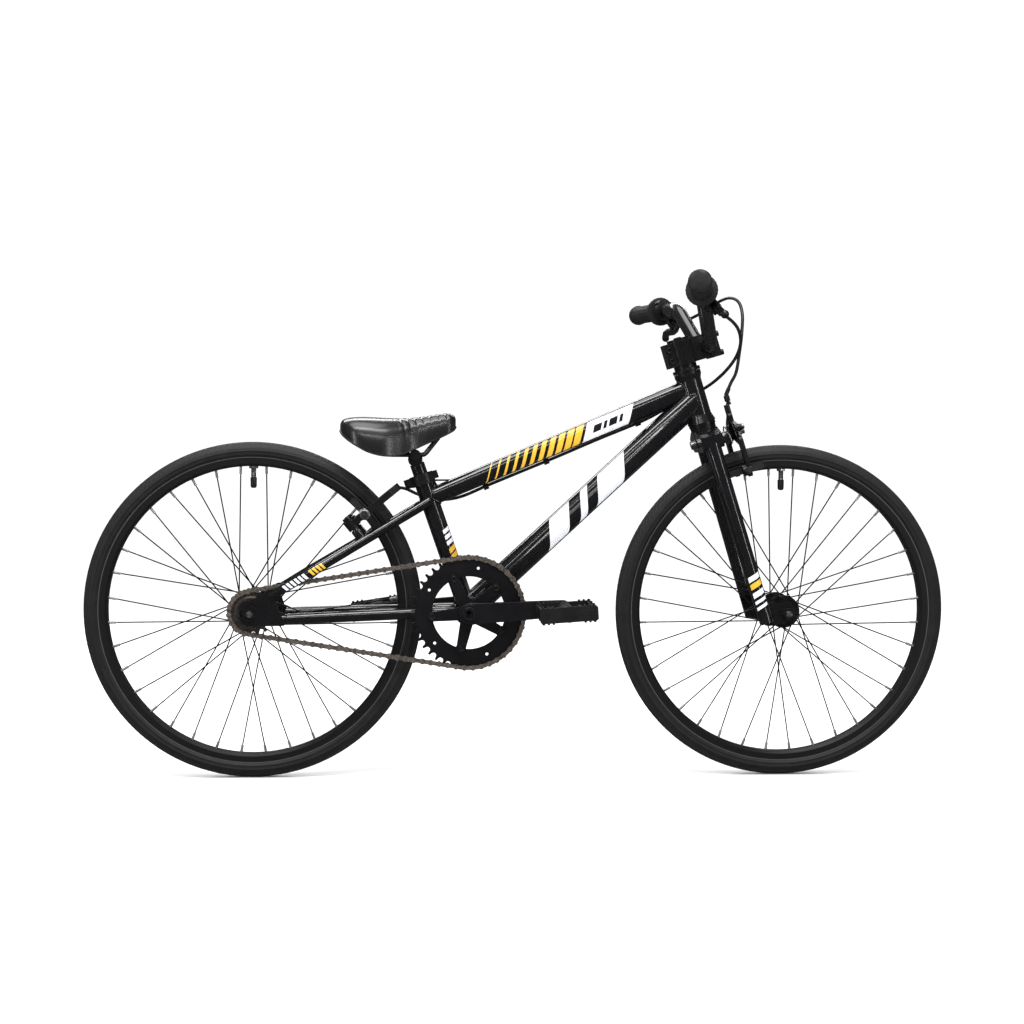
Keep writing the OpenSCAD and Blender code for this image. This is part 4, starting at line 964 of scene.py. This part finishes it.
@dataclass
class Cockpit:
    """The fork's marks, the stem's bolts, the handlebar, its grips and both brake cables."""

    bar_r: float = 11.1 * MM
    bar_half: float = 311 * MM
    bar_rise: float = 68 * MM
    stem_reach: float = 38.0
    clamp_up: float = 419.5
    bend: float = 42 * MM
    cord_r: float = 2.5 * MM

    def bar_knots(self, side: int) -> list[Vector]:
        """The corners of one half of the handlebar, from its clamp outwards."""
        clamp = Datum.on_steer(self.stem_reach, 0, self.clamp_up)
        outer = self.bar_half - 0.118
        return [clamp, clamp + Vector((0, side * 0.046, 0)),
                clamp + Vector((-0.025, side * 0.118, self.bar_rise - 0.001)),
                clamp + Vector((-0.025 - outer * 0.19, side * (self.bar_half - 0.006), self.bar_rise + 0.002))]

    def rounded(self, knots: list[Vector]) -> list[Vector]:
        """The line through the corners with each of them bent to a radius."""
        line = [knots[0]]
        for a, p, b in zip(knots, knots[1:], knots[2:]):
            first, second = (p - a).normalized(), (b - p).normalized()
            turn = first.angle(second)
            inward = (second - first * first.dot(second)).normalized()
            centre = p - first * self.bend * math.tan(turn / 2) + inward * self.bend
            line += [centre + (first * math.sin(turn * i / 14) - inward * math.cos(turn * i / 14)) * self.bend
                     for i in range(15)]
        return line + [knots[-1]]

    def build(self) -> None:
        """Build every piece of the cockpit."""
        self.build_bar()
        self.build_grips()
        self.build_bolts()
        self.build_fork_marks()
        self.build_cables()
        dress(Look.PAINT, "fork")
        dress(Look.ALLOY, "stem", "stem_faceplate", "lever_brackets", "brake_lever_left", "brake_lever_right")

    def build_bar(self) -> None:
        """The bent handlebar."""
        right, left = self.bar_knots(-1), self.bar_knots(1)
        line = self.rounded([right[3], right[2], right[1], left[1], left[2], left[3]])
        bar = Sweep(line, lambda share, turn: self.bar_r, 40)
        Piece("bent_handlebar", *bar.mesh(), Look.BAR, "steering", "bar_black", ("handlebar",)).build()

    def grip_profile(self) -> list[tuple[float, float]]:
        """Distances in from the bar's end and radii of a ribbed grip."""
        profile = [(-0.0060, 0.0040), (-0.0060, 0.0105), (-0.0050, 0.0140), (-0.0028, 0.0160), (0.0005, 0.0165),
                   (0.0050, 0.0162), (0.0064, 0.0149)]
        ribs = 30
        for k in range(ribs):
            start = 0.0075 + k * 0.0031
            profile += [(start, 0.0139), (start + 0.0006, 0.0147), (start + 0.0017, 0.0147), (start + 0.0023, 0.0139)]
        profile += [(0.1020, 0.0142), (0.1065, 0.0155), (0.1085, 0.0205), (0.1094, 0.0228), (0.1118, 0.0230),
                    (0.1136, 0.0215), (0.1140, 0.0120)]
        return profile

    def build_grips(self) -> None:
        """Ribbed grips with a flange and a moulded end."""
        profile = self.grip_profile()
        ribbed = range(7, len(profile) - 7)

        def moulded(number: int, turn: float) -> float:
            """Flutes along the ribs and a scalloped flange and end."""
            if number in ribbed:
                return 1 + 0.012 * math.cos(16 * turn)
            if number < 3:
                return 1 + 0.05 * math.cos(6 * turn)
            return 1 + 0.008 * math.cos(24 * turn)

        parts = []
        for side in (-1, 1):
            knots = self.bar_knots(side)
            inward = (knots[2] - knots[3]).normalized()
            parts.append(turned(knots[3], inward, profile, 96, moulded))
            end_cap = [(0, 0.0052), (0.0006, 0.0050), (0.0008, 0.002)]
            parts.append(turned(knots[3] - inward * 0.0058, -inward, end_cap, 40))
        merged("moulded_grips", parts, Look.GRIP, "steering", "grip_rubber", ("grips",), 30)

    def build_bolts(self) -> None:
        """Socket screws of the faceplate, stem and top cap."""
        ahead, left = Datum.steer_ahead, Vector((0, 1, 0))
        reach = self.stem_reach + 17.05
        parts = [bolt_head(Datum.on_steer(reach, j * 17, self.clamp_up + k * 14.5), ahead, 0.0044, 0.0045)
                 for j in (-1, 1) for k in (-1, 1)]
        for up in (412.5, 429.5):
            parts.append(bolt_head(Datum.on_steer(-20, -17.05, up), -left, 0.0044, 0.0045))
            parts.append(hex_nut(Datum.on_steer(-20, 17.05, up), left, 0.0040, 0.0035))
        parts.append(bolt_head(Datum.on_steer(0, 0, 443.4), Datum.steer_up, 0.0050, 0.0022))
        merged("cockpit_screws", parts, Look.BLACK_STEEL, "steering", "axle_steel", ("stem_bolts",))

    def build_fork_marks(self) -> None:
        """Printed blocks low on both fork legs."""
        white, gold = [], []
        for side in (-1, 1):
            leg = rod(Datum.on_steer(0, side * 55, -6), Datum.on_steer(0, side * 35, 285.5),
                      lambda share, turn: (10.5 + 2 * share) * MM, 48, 12)
            turns = (-52, 52) if side < 0 else (232, 128)
            white += [leg.patch((a, b), turns, 0.02) for a, b in ((0.235, 0.262), (0.150, 0.178), (0.118, 0.134),
                                                                 (0.086, 0.102))]
            gold.append(leg.patch((0.196, 0.224), turns, 0.02))
        merged("fork_white_marks", white, Look.WHITE_INK, "steering", "frame_paint")
        merged("fork_gold_marks", gold, Look.GOLD_INK, "steering", "frame_paint")

    def cable_points(self, points: Sequence[tuple[float, float, float]]) -> list[Vector]:
        """A route's round points, in metres."""
        return [Vector(p) * MM for p in points]

    def build_cables(self) -> None:
        """Both brake cables with their ferrules, and the rear cable's bare inner wire."""
        eye = Vector((-186.7, 30.6, 438.5)) * MM
        rear = self.cable_points([
            (262, -134, 703), (266, -120, 702), (279, -104, 701), (300, -88, 694), (318, -72, 680),
            (326, -56, 660), (322, -40, 638), (308, -22, 616), (290, 0, 598), (272, 22, 586),
            (252, 30, 576), (230, 28, 564), (210, 19, 553), (194, 13, 545), (176, 12, 537),
            (120, 12, 514), (60, 12, 488), (0, 12, 463), (-50, 12, 442), (-84, 15, 427),
            (-108, 22, 421), (-130, 30, 421), (-154, 37, 428), (-172, 42, 436), (-183, 41, 438)])
        rear += [eye + Vector((0, 0.006, 0)), eye]
        front = self.cable_points([
            (262, 134, 703), (270, 118, 704), (282, 96, 709), (296, 70, 718), (310, 44, 728),
            (322, 16, 732), (331, -10, 724), (334, -26, 704), (332, -34, 676), (328, -38, 646),
            (323, -39, 616), (315, -38, 599), (308.2, -38, 581.4)])
        rear_cable = Sweep(smooth_line(rear, 8), lambda share, turn: self.cord_r, 16)
        piece = Piece("rear_cable_housing", *rear_cable.mesh(), Look.HOUSING, "", "cable_housing",
                      ("rear_brake_cable",)).build()
        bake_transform(piece)
        front_cable = Sweep(smooth_line(front, 8), lambda share, turn: self.cord_r, 16)
        Piece("front_cable_housing", *front_cable.mesh(), Look.HOUSING, "steering", "cable_housing",
              ("front_brake_cable",)).build()
        wire = rod(eye - Vector((0, 0.0072, 0)), Vector((eye.x, -0.0238, eye.z)), 0.0008, 12)
        Piece("rear_inner_wire", *wire.mesh(), Look.ZINC, "frame", "cable_housing").build()
        ferrules = []
        for line in (rear, front):
            run = (line[1] - line[0]).normalized()
            ferrules.append(turned(line[0], run, [(-0.001, 0.0031), (0.0095, 0.0031), (0.011, 0.0027)], 24))
        run = (front[-2] - front[-1]).normalized()
        ferrules.append(turned(front[-1], run, [(-0.001, 0.0032), (0.010, 0.0032), (0.0115, 0.0027)], 24))
        merged("cable_ferrules", ferrules, Look.BLACK_STEEL, "steering", "cable_housing")


# ------------------------------------------------------------------ saddle

@dataclass
class Saddle:
    """The saddle's vinyl cover, ribbed at the front, over its shell."""

    rib_depth: float = 1.2
    ribs: int = 8
    ribbed: tuple[float, float] = (-46, 52)
    fine: int = 16
    thick: float = 8.8
    arch_steps: int = 52
    stations: tuple[tuple[float, float, float, float], ...] = (
        (-113, 9, 41, 52), (-109, 36, 35, 58), (-100, 49, 27, 61), (-86, 57, 18, 62.5), (-68, 60, 9, 62.5),
        (-46, 56, 4, 61.5), (-24, 45, 5, 61), (-4, 33, 13, 62), (16, 26, 22, 64.5), (36, 23, 31, 68),
        (50, 20, 38, 69), (58, 14, 43, 66), (61, 7, 48, 61))

    def __post_init__(self) -> None:
        """Find the saddle's own origin at the seat post's head."""
        self.origin = Datum.on_seat(243)

    def section(self, share: float) -> tuple[float, float, float, float]:
        """Place, half width, lower edge and crown at a share of the saddle's length."""
        knots = [Vector((x, w, (lo + hi) / 2)) for x, w, lo, hi in self.stations]
        halves = [Vector((hi - lo, 0, 0)) for _, _, lo, hi in self.stations]
        i = round(share * (len(self.stations) - 1) * self.fine)
        x, w, mid = smooth_line(knots, self.fine)[i]
        tall = smooth_line(halves, self.fine)[i].x
        return x, w, mid - tall / 2, mid + tall / 2

    def ribbing(self, x: float, y: float, lift: float) -> float:
        """Depth of the slanted grooves across the front half."""
        along = x - 0.5 * abs(y)
        first, last = self.ribbed
        if not first < along < last:
            return 0.0
        fade = min((along - first) / 5, 1) * min((last - along) / 5, 1) * min(lift * 1.6, 1)
        wave = 0.5 + 0.5 * math.cos(math.tau * (along - first) / ((last - first) / self.ribs))
        return self.rib_depth * fade * wave ** 3

    def cover(self) -> Solid:
        """The cover's outer and inner skins as one closed mesh."""
        rings = (len(self.stations) - 1) * self.fine
        n = self.arch_steps
        points = []
        for r in range(rings + 1):
            x, w, lo, hi = self.section(r / rings)
            for k in range(n + 1):
                a = math.pi * k / n
                side = math.copysign(abs(math.cos(a)) ** 0.72, math.cos(a))
                lift = math.sin(a) ** 0.62 if math.sin(a) > 1e-9 else 0.0
                y, z = w * side, lo + (hi - lo) * lift
                points.append(Vector((x, y, z - self.ribbing(x, y, lift))))
            inner_w, inner_hi = max(w - self.thick, w * 0.3), max(hi - 15, lo + 2)
            for k in range(n, -1, -1):
                a = math.pi * k / n
                side = math.copysign(abs(math.cos(a)) ** 0.72, math.cos(a))
                lift = math.sin(a) ** 0.62 if math.sin(a) > 1e-9 else 0.0
                points.append(Vector((x, inner_w * side, lo + 0.4 + (inner_hi - lo) * lift)))
        m = 2 * (n + 1)
        faces = [(i * m + k, (i + 1) * m + k, (i + 1) * m + (k + 1) % m, i * m + (k + 1) % m)
                 for i in range(rings) for k in range(m)]
        for start, flip in ((0, False), (rings * m, True)):
            for k in range(n):
                quad = (start + k, start + k + 1, start + m - 2 - k, start + m - 1 - k)
                faces.append(tuple(reversed(quad)) if flip else quad)
        return [self.origin + p * MM for p in points], faces

    def piping(self) -> list[Solid]:
        """The rolled lower edge of the cover, on both sides."""
        edges = []
        rings = (len(self.stations) - 1) * self.fine
        for side in (-1, 1):
            line = []
            for r in range(3, rings - 2, 2):
                x, w, lo, _ = self.section(r / rings)
                line.append(self.origin + Vector((x, side * (w - 1.6), lo + 1.0)) * MM)
            edges.append(Sweep(line, lambda share, turn: 0.0017, 12).mesh())
        return edges

    def build(self) -> None:
        """Build the cover and dress what carries it."""
        pad = Piece("saddle_cover", *self.cover(), Look.VINYL, "seat", "saddle_vinyl",
                    ("saddle_pad",), 60).build()
        merged("saddle_edge_roll", self.piping(), Look.SHELL, "seat", "saddle_plastic")
        dress(Look.SHELL, "saddle_base")
        dress(Look.BLACK_STEEL, "saddle_rails")
        dress(Look.PAINT, "seat_post")


# ------------------------------------------------------------------ wheels

@dataclass
class Wheel:
    """One wheel: its tyre with a file tread, inner tube, valve, rim, spokes and hub."""

    name: str
    axle: Vector
    tyre_r: float = 253.5 * MM
    tyre_half: float = 14 * MM
    rim_edge: float = 231 * MM
    rim_inner: float = 217 * MM
    steps: int = 720

    def tyre_profile(self) -> list[tuple[float, float, float]]:
        """Radius, width and tread depth round one section of the tyre."""
        centre = self.tyre_r - self.tyre_half
        outer = []
        count = 44
        for k in range(count + 1):
            a = math.radians(-127 + 254 * k / count)
            tread = 1.0 if abs(math.degrees(a)) < 64 else 0.0
            ridge = 0.0006 if 83 < abs(math.degrees(a)) < 89 or 106 < abs(math.degrees(a)) < 110 else 0.0
            r = self.tyre_half - 0.0003 * tread + ridge
            outer.append((centre + r * math.cos(a), r * math.sin(a), tread))
        inner = [(centre + 0.0115 * math.cos(math.radians(a)), 0.0115 * math.sin(math.radians(a)), 0.0)
                 for a in range(122, -123, -12)]
        return outer + inner

    def tyre(self) -> Solid:
        """The tyre's mesh, its tread cut in slanted files that mirror at the middle."""
        profile = self.tyre_profile()
        m = len(profile)
        points = []
        for s in range(self.steps):
            turn = math.tau * s / self.steps
            for k, (r, y, tread) in enumerate(profile):
                file = (s + abs(k - 22)) % 4 > 0
                out = r + tread * (0.0003 if file else -0.0010)
                points.append(self.axle + Vector((out * math.sin(turn), y, out * math.cos(turn))))
        faces = []
        for s in range(self.steps):
            n = (s + 1) % self.steps
            for k in range(m):
                j = (k + 1) % m
                faces.append((s * m + k, s * m + j, n * m + j, n * m + k))
        return points, faces

    def inflated(self) -> Solid:
        """The inner tube, a plain ring inside the tyre."""
        steps, sides = 144, 20
        centre = self.tyre_r - self.tyre_half
        points = [self.axle + Vector(((centre + 0.0108 * math.cos(a)) * math.sin(t), 0.0108 * math.sin(a),
                                      (centre + 0.0108 * math.cos(a)) * math.cos(t)))
                  for t in (math.tau * s / steps for s in range(steps))
                  for a in (math.tau * k / sides for k in range(sides))]
        faces = [(s * sides + k, s * sides + (k + 1) % sides, (s + 1) % steps * sides + (k + 1) % sides,
                  (s + 1) % steps * sides + k) for s in range(steps) for k in range(sides)]
        return points, faces

    def build(self) -> None:
        """Build and dress the wheel."""
        body = f"{self.name}_wheel"
        rubber = TyreRubber(f"{self.name}_tyre_rubber", (0.0065, 0.0065, 0.0072), (0.011, 0.011, 0.0118), (0.5, 0.66),
                            axle=tuple(self.axle))
        Piece(f"{self.name}_file_tyre", *self.tyre(), rubber, body, "tyre_rubber",
              (f"{self.name}_tyre",), 35).build()
        Piece(f"{self.name}_inflated_tube", *self.inflated(), Look.TUBE, body, "inner_tube",
              (f"{self.name}_inner_tube",)).build()
        down = Vector((0, 0, -1))
        seat = self.axle + Vector((0, 0, self.rim_inner))
        threads = [(0.001 * k / 2, 0.0040 if k % 2 else 0.0036) for k in range(-30, 44)]
        Piece(f"{self.name}_valve_stem", *turned(seat, down, threads, 24), Look.ZINC, body, "inner_tube").build()
        Piece(f"{self.name}_valve_nut", *hex_nut(seat, down, 0.0062, 0.0036), Look.ZINC, body, "inner_tube").build()
        cap = [(0.0170, 0.0040), (0.0172, 0.0048), (0.0300, 0.0046), (0.0322, 0.0038), (0.0330, 0.0018)]
        Piece(f"{self.name}_valve_cap", *turned(seat, down, cap, 36, lambda i, a: 1 + 0.03 * math.cos(12 * a)),
              Look.HOUSING, body, "inner_tube").build()
        # the rim's grey band beyond rim_edge less 1.2 mm is a painted highlight along the tyre's edge, on black rim
        # metal
        dress(BandedMetal(f"{self.name}_rim_with_painted_highlight", (0.009, 0.009, 0.010), (0.014, 0.014, 0.015), (0.3, 0.4), 0.4,
                          tuple(self.axle), self.rim_edge - 0.0012, (0.10, 0.10, 0.105)), f"{self.name}_rim")
        dress(BandedMetal(f"{self.name}_spoke_black", (0.012, 0.012, 0.012), (0.022, 0.022, 0.022), (0.28, 0.4), 0.7,
                          tuple(self.axle), self.rim_inner - 0.0118, (0.34, 0.34, 0.35)), f"{self.name}_spokes")
        dress(Look.ALLOY, f"{self.name}_hub")


# ------------------------------------------------------------------ drive and brakes

@dataclass
class Drive:
    """The chain, its sprockets, the cranks and the pedals."""

    bolt_circle: float = 55 * MM
    chain_line: float = 46 * MM
    first_arm: float = 42.0

    def build(self) -> None:
        """Dress the drive and add its screws, washers and caps."""
        dress(Look.CHAIN, "chain")
        dress(Look.COG, "freewheel")
        dress(Look.CRANK, "chainring", "crank_arm_right", "crank_arm_left")
        dress(Look.BLACK_STEEL, "crank_spindle")
        dress(Look.ZINC, "pedal_axles")
        dress(Look.PEDAL, "pedal_left", "pedal_right")
        right = Vector((0, -1, 0))
        screws = []
        for k in range(5):
            turn = math.radians(self.first_arm + 72 * k)
            foot = Datum.bracket + Vector((math.cos(turn), 0, math.sin(turn))) * self.bolt_circle
            foot.y = -self.chain_line - 7.6 * MM
            screws.append(bolt_head(foot, right, 0.0048, 0.0012))
        merged("chainring_screws", screws, Look.BLACK_STEEL, "crank", "axle_steel")
        for side, spin, tilt in ((-1, "right_pedal_spin", 4), (1, "left_pedal_spin", 9)):
            self.build_pins(side, spin, tilt)
        caps, washers = [], []
        for side, spin in ((-1, "right_pedal_spin"), (1, "left_pedal_spin")):
            out = Vector((0, side, 0))
            hub = Datum.bracket + out * 77 * MM
            caps.append(turned(hub, out, [(0, 0.0100), (0.0006, 0.0098), (0.0008, 0.0062), (-0.0004, 0.0058),
                                          (-0.0004, 0.0020)], 48))
            tip = Vector(joint(spin)["pos_m"])
            seat = Vector((tip.x, side * 0.0742, tip.z))
            washer = [(0, 0.0092), (0.0006, 0.0102), (0.0022, 0.0102), (0.0028, 0.0088)]
            washers.append(turned(seat, out, washer, 48))
        merged("crank_dust_caps", caps, Look.CRANK, "crank", "satin_black_alloy")
        merged("pedal_washers", washers, Look.COPPER, "crank", "axle_steel")


    def build_pins(self, side: int, spin: str, tilt: float) -> None:
        """Gripping pins and ribs round one pedal's cage.

        Args:
            side: 1 for the rider's left and -1 for the right.
            spin: the pedal's joint.
            tilt: how far it rests from level, in degrees.
        """
        centre = Vector(joint(spin)["pos_m"])
        turn = Matrix.Rotation(math.radians(-tilt), 3, "Y")
        pins = []
        for x in (-37, -30, -23, 23, 30, 37):
            for y in (0.0825, 0.1635):
                for up in (-1, 1):
                    foot = Vector((centre.x, side * y, centre.z)) + turn @ (Vector((x, 0, up * 10.6)) * MM)
                    pins.append(turned(foot, turn @ Vector((0, 0, up)), [(0, 0.0019), (0.0022, 0.0016),
                                                                        (0.0026, 0.0011)], 14))
        for x in (-31, 31):
            rim = Vector((centre.x, side * 0.1668, centre.z)) + turn @ Vector((x * MM, 0, 0))
            pins.append(turned(rim, Vector((0, side, 0)), [(0, 0.0052), (0.0004, 0.0050), (0.0004, 0.0032),
                                                          (-0.002, 0.0030)], 28))
        body = spin.replace("_spin", "")
        merged(f"{body}_pins", pins, Look.PEDAL, body, "pedal_plastic")


@dataclass
class Brakes:
    """The front calliper's and the rear arms' small pieces."""

    centre_up: float = 280.8

    def build(self) -> None:
        """Dress the brakes and add a wire, a barrel adjuster, a screw, a spring and washers."""
        dress(Look.ALLOY, "caliper_arm_left", "caliper_arm_right", "v_arm_left", "v_arm_right")
        dress(Look.ZINC, "caliper_bolt")
        dress(Look.SHOE, "front_pad_left", "front_pad_right", "rear_pad_left", "rear_pad_right")
        self.build_front()
        self.build_rear()

    def build_front(self) -> None:
        """The bare inner wire, its clamp bolt and the return spring."""
        d = Datum
        top = d.on_steer(37, -38, self.centre_up + 18.8)
        clamp = d.on_steer(39, -38, self.centre_up - 4)
        wire = rod(top, clamp, 0.0008, 12)
        Piece("front_inner_wire", *wire.mesh(), Look.ZINC, "steering", "cable_housing").build()
        low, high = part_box("caliper_arm_left")
        top_of_arm = Vector((low.x + 0.0078, -0.038, high.z - 0.0003))
        barrel = [(-0.001, 0.0040), (0.0024, 0.0040), (0.0024, 0.0028), (0.0044, 0.0028), (0.0044, 0.0042),
                  (0.0125, 0.0042), (0.0140, 0.0032)]
        Piece("barrel_adjuster", *turned(top_of_arm, d.steer_up, barrel, 48,
                                         lambda i, a: 1 + 0.05 * math.cos(16 * a) if i > 3 else 1.0),
              Look.BLACK_STEEL, "caliper_left", "satin_black_alloy").build()
        parts = [bolt_head(d.on_steer(50.0, -38, self.centre_up + 8), d.steer_ahead, 0.0042, 0.0036)]
        Piece("wire_clamp_screw", *parts[0], Look.ZINC, "caliper_right", "satin_black_alloy").build()
        spring = [d.on_steer(31.5, v, self.centre_up + w) for v, w in
                  ((-31, -12), (-22, 2), (-9, 11), (0, 14), (9, 11), (22, 2), (31, -12))]
        coil = Sweep(smooth_line(spring, 6), lambda share, turn: 0.0011, 12)
        Piece("caliper_spring", *coil.mesh(), Look.ZINC, "steering", "axle_steel").build()

    def build_rear(self) -> None:
        """Domed washers on each rear pad's stud."""
        for name, side in (("left", 1), ("right", -1)):
            low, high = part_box(f"rear_pad_{name}")
            middle = (low + high) / 2
            stud = Vector((middle.x, side * 0.0420, middle.z))
            out = Vector((0, side, 0))
            rings = [(-0.0020, 0.0060), (0.0002, 0.0088), (0.0012, 0.0088), (0.0030, 0.0052)]
            Piece(f"rear_{name}_washer", *turned(stud + out * 0.0015, out, rings, 36), Look.ZINC, f"v_{name}",
                  "axle_steel").build()


# ------------------------------------------------------------------ studio

@dataclass
class Studio:
    """The pale floor, the soft lights and the camera."""

    camera_at: tuple[float, float, float] = (-0.1747, -2.6, 0.5032)
    yaw: float = 0.0627
    pitch: float = 0.0386
    roll: float = 0.0059
    lens: float = 60.25
    floor_half: float = 40.0
    seen: float = 1.0
    soft: float = 0.5
    mirrored: float = 0.06

    def build(self) -> None:
        """Set up the whole studio."""
        self.build_floor()
        self.build_world()
        self.light("overhead_sun", "SUN", (0, 0, 4), (0.10, -0.12, 0), 1.9, None)
        self.light("top_strip", "AREA", (-0.1, -1.0, 2.3), (0.42, 0, 0), 32.0, (2.6, 0.35))
        self.light("side_strip", "AREA", (0.1, -2.2, 1.75), (0.98, 0, 0), 14.0, (3.0, 0.10))
        self.light("back_strip", "AREA", (0.0, 1.6, 1.8), (-0.75, 0, 0), 26.0, (2.6, 0.4))
        self.light("left_strip", "AREA", (-2.1, -1.7, 0.8), (math.pi / 2, 0, -0.9), 10.0, (0.10, 2.0))
        self.light("right_strip", "AREA", (2.1, -1.9, 0.8), (math.pi / 2, 0, 0.85), 10.0, (0.10, 2.0))
        self.build_camera()
        bpy.context.scene.view_settings.view_transform = "Standard"

    def build_floor(self) -> None:
        """A plain pale floor at the tyres' lowest point."""
        half, low = self.floor_half, CAD_BOX[0][2]
        mesh = bpy.data.meshes.new("floor")
        mesh.from_pydata([(-half, -half, low), (half, -half, low), (half, half, low), (-half, half, low)], [],
                         [(0, 1, 2, 3)])
        floor = bpy.data.objects.new("floor", mesh)
        bpy.context.scene.collection.objects.link(floor)
        sheet = Sheet("pale_floor")
        grain = sheet.noise(30, 3)
        sheet.set(Base_Color=sheet.blend(grain, (0.93, 0.93, 0.93), (0.95, 0.95, 0.95)), Roughness=0.9)
        sheet.set(Specular_IOR_Level=0.0)
        mesh.materials.append(sheet.material)
        floor.visible_glossy = False

    def build_world(self) -> None:
        """A white backdrop that lights the bicycle more softly than it shows."""
        world = bpy.data.worlds.new("studio")
        bpy.context.scene.world = world
        world.use_nodes = True
        tree = world.node_tree
        plain = next(n for n in tree.nodes if n.type == "BACKGROUND")
        plain.inputs["Color"].default_value = (1, 1, 1, 1)
        path = tree.nodes.new("ShaderNodeLightPath")
        last = plain.inputs["Strength"]
        for output, gain, rest in (("Is Camera Ray", self.seen, 0.0),
                                   ("Is Diffuse Ray", self.soft, self.mirrored)):
            level = tree.nodes.new("ShaderNodeMath")
            level.operation = "MULTIPLY_ADD"
            level.inputs[1].default_value = gain
            level.inputs[2].default_value = rest
            tree.links.new(path.outputs[output], level.inputs[0])
            tree.links.new(level.outputs[0], last)
            last = level.inputs[2]

    def light(self, name: str, kind: str, at: Sequence[float], turn: Sequence[float], power: float,
              size: Optional[tuple[float, float]]) -> None:
        """Add one soft light.

        Args:
            name: its name.
            kind: SUN or AREA.
            at: its place.
            turn: its rotation in radians; unturned, it shines down.
            power: in watts, or a sun's strength.
            size: an area light's width and height.
        """
        lamp = bpy.data.lights.new(name, kind)
        lamp.energy = power
        if kind == "SUN":
            lamp.angle = math.radians(50)
        else:
            lamp.shape = "RECTANGLE"
            lamp.size, lamp.size_y = size
        thing = bpy.data.objects.new(name, lamp)
        thing.location = at
        thing.rotation_euler = turn
        bpy.context.scene.collection.objects.link(thing)

    def build_camera(self) -> None:
        """The camera, from the bicycle's right side."""
        lens = bpy.data.cameras.new("camera")
        lens.lens = self.lens
        lens.sensor_width = 36
        lens.clip_end = 200
        camera = bpy.data.objects.new("camera", lens)
        look = Vector((math.sin(self.yaw) * math.cos(self.pitch), math.cos(self.yaw) * math.cos(self.pitch),
                       -math.sin(self.pitch)))
        level = look.cross(Vector((0, 0, 1))).normalized()
        top = level.cross(look)
        right = level * math.cos(self.roll) + top * math.sin(self.roll)
        up = top * math.cos(self.roll) - level * math.sin(self.roll)
        turn = Matrix((right, up, -look)).transposed().to_4x4()
        camera.matrix_world = Matrix.Translation(self.camera_at) @ turn
        bpy.context.scene.collection.objects.link(camera)
        bpy.context.scene.camera = camera


def main() -> None:
    """Build the bicycle and its studio, one sub-assembly after another."""
    logging.basicConfig(level=logging.INFO, format="%(name)s: %(message)s")
    Studio().build()
    FrameTubes().build()
    Cockpit().build()
    Saddle().build()
    for name, axle in (("front", Datum.front_axle), ("rear", Datum.rear_axle)):
        Wheel(name, axle).build()
    Drive().build()
    Brakes().build()


if __name__ == "__main__":
    main()
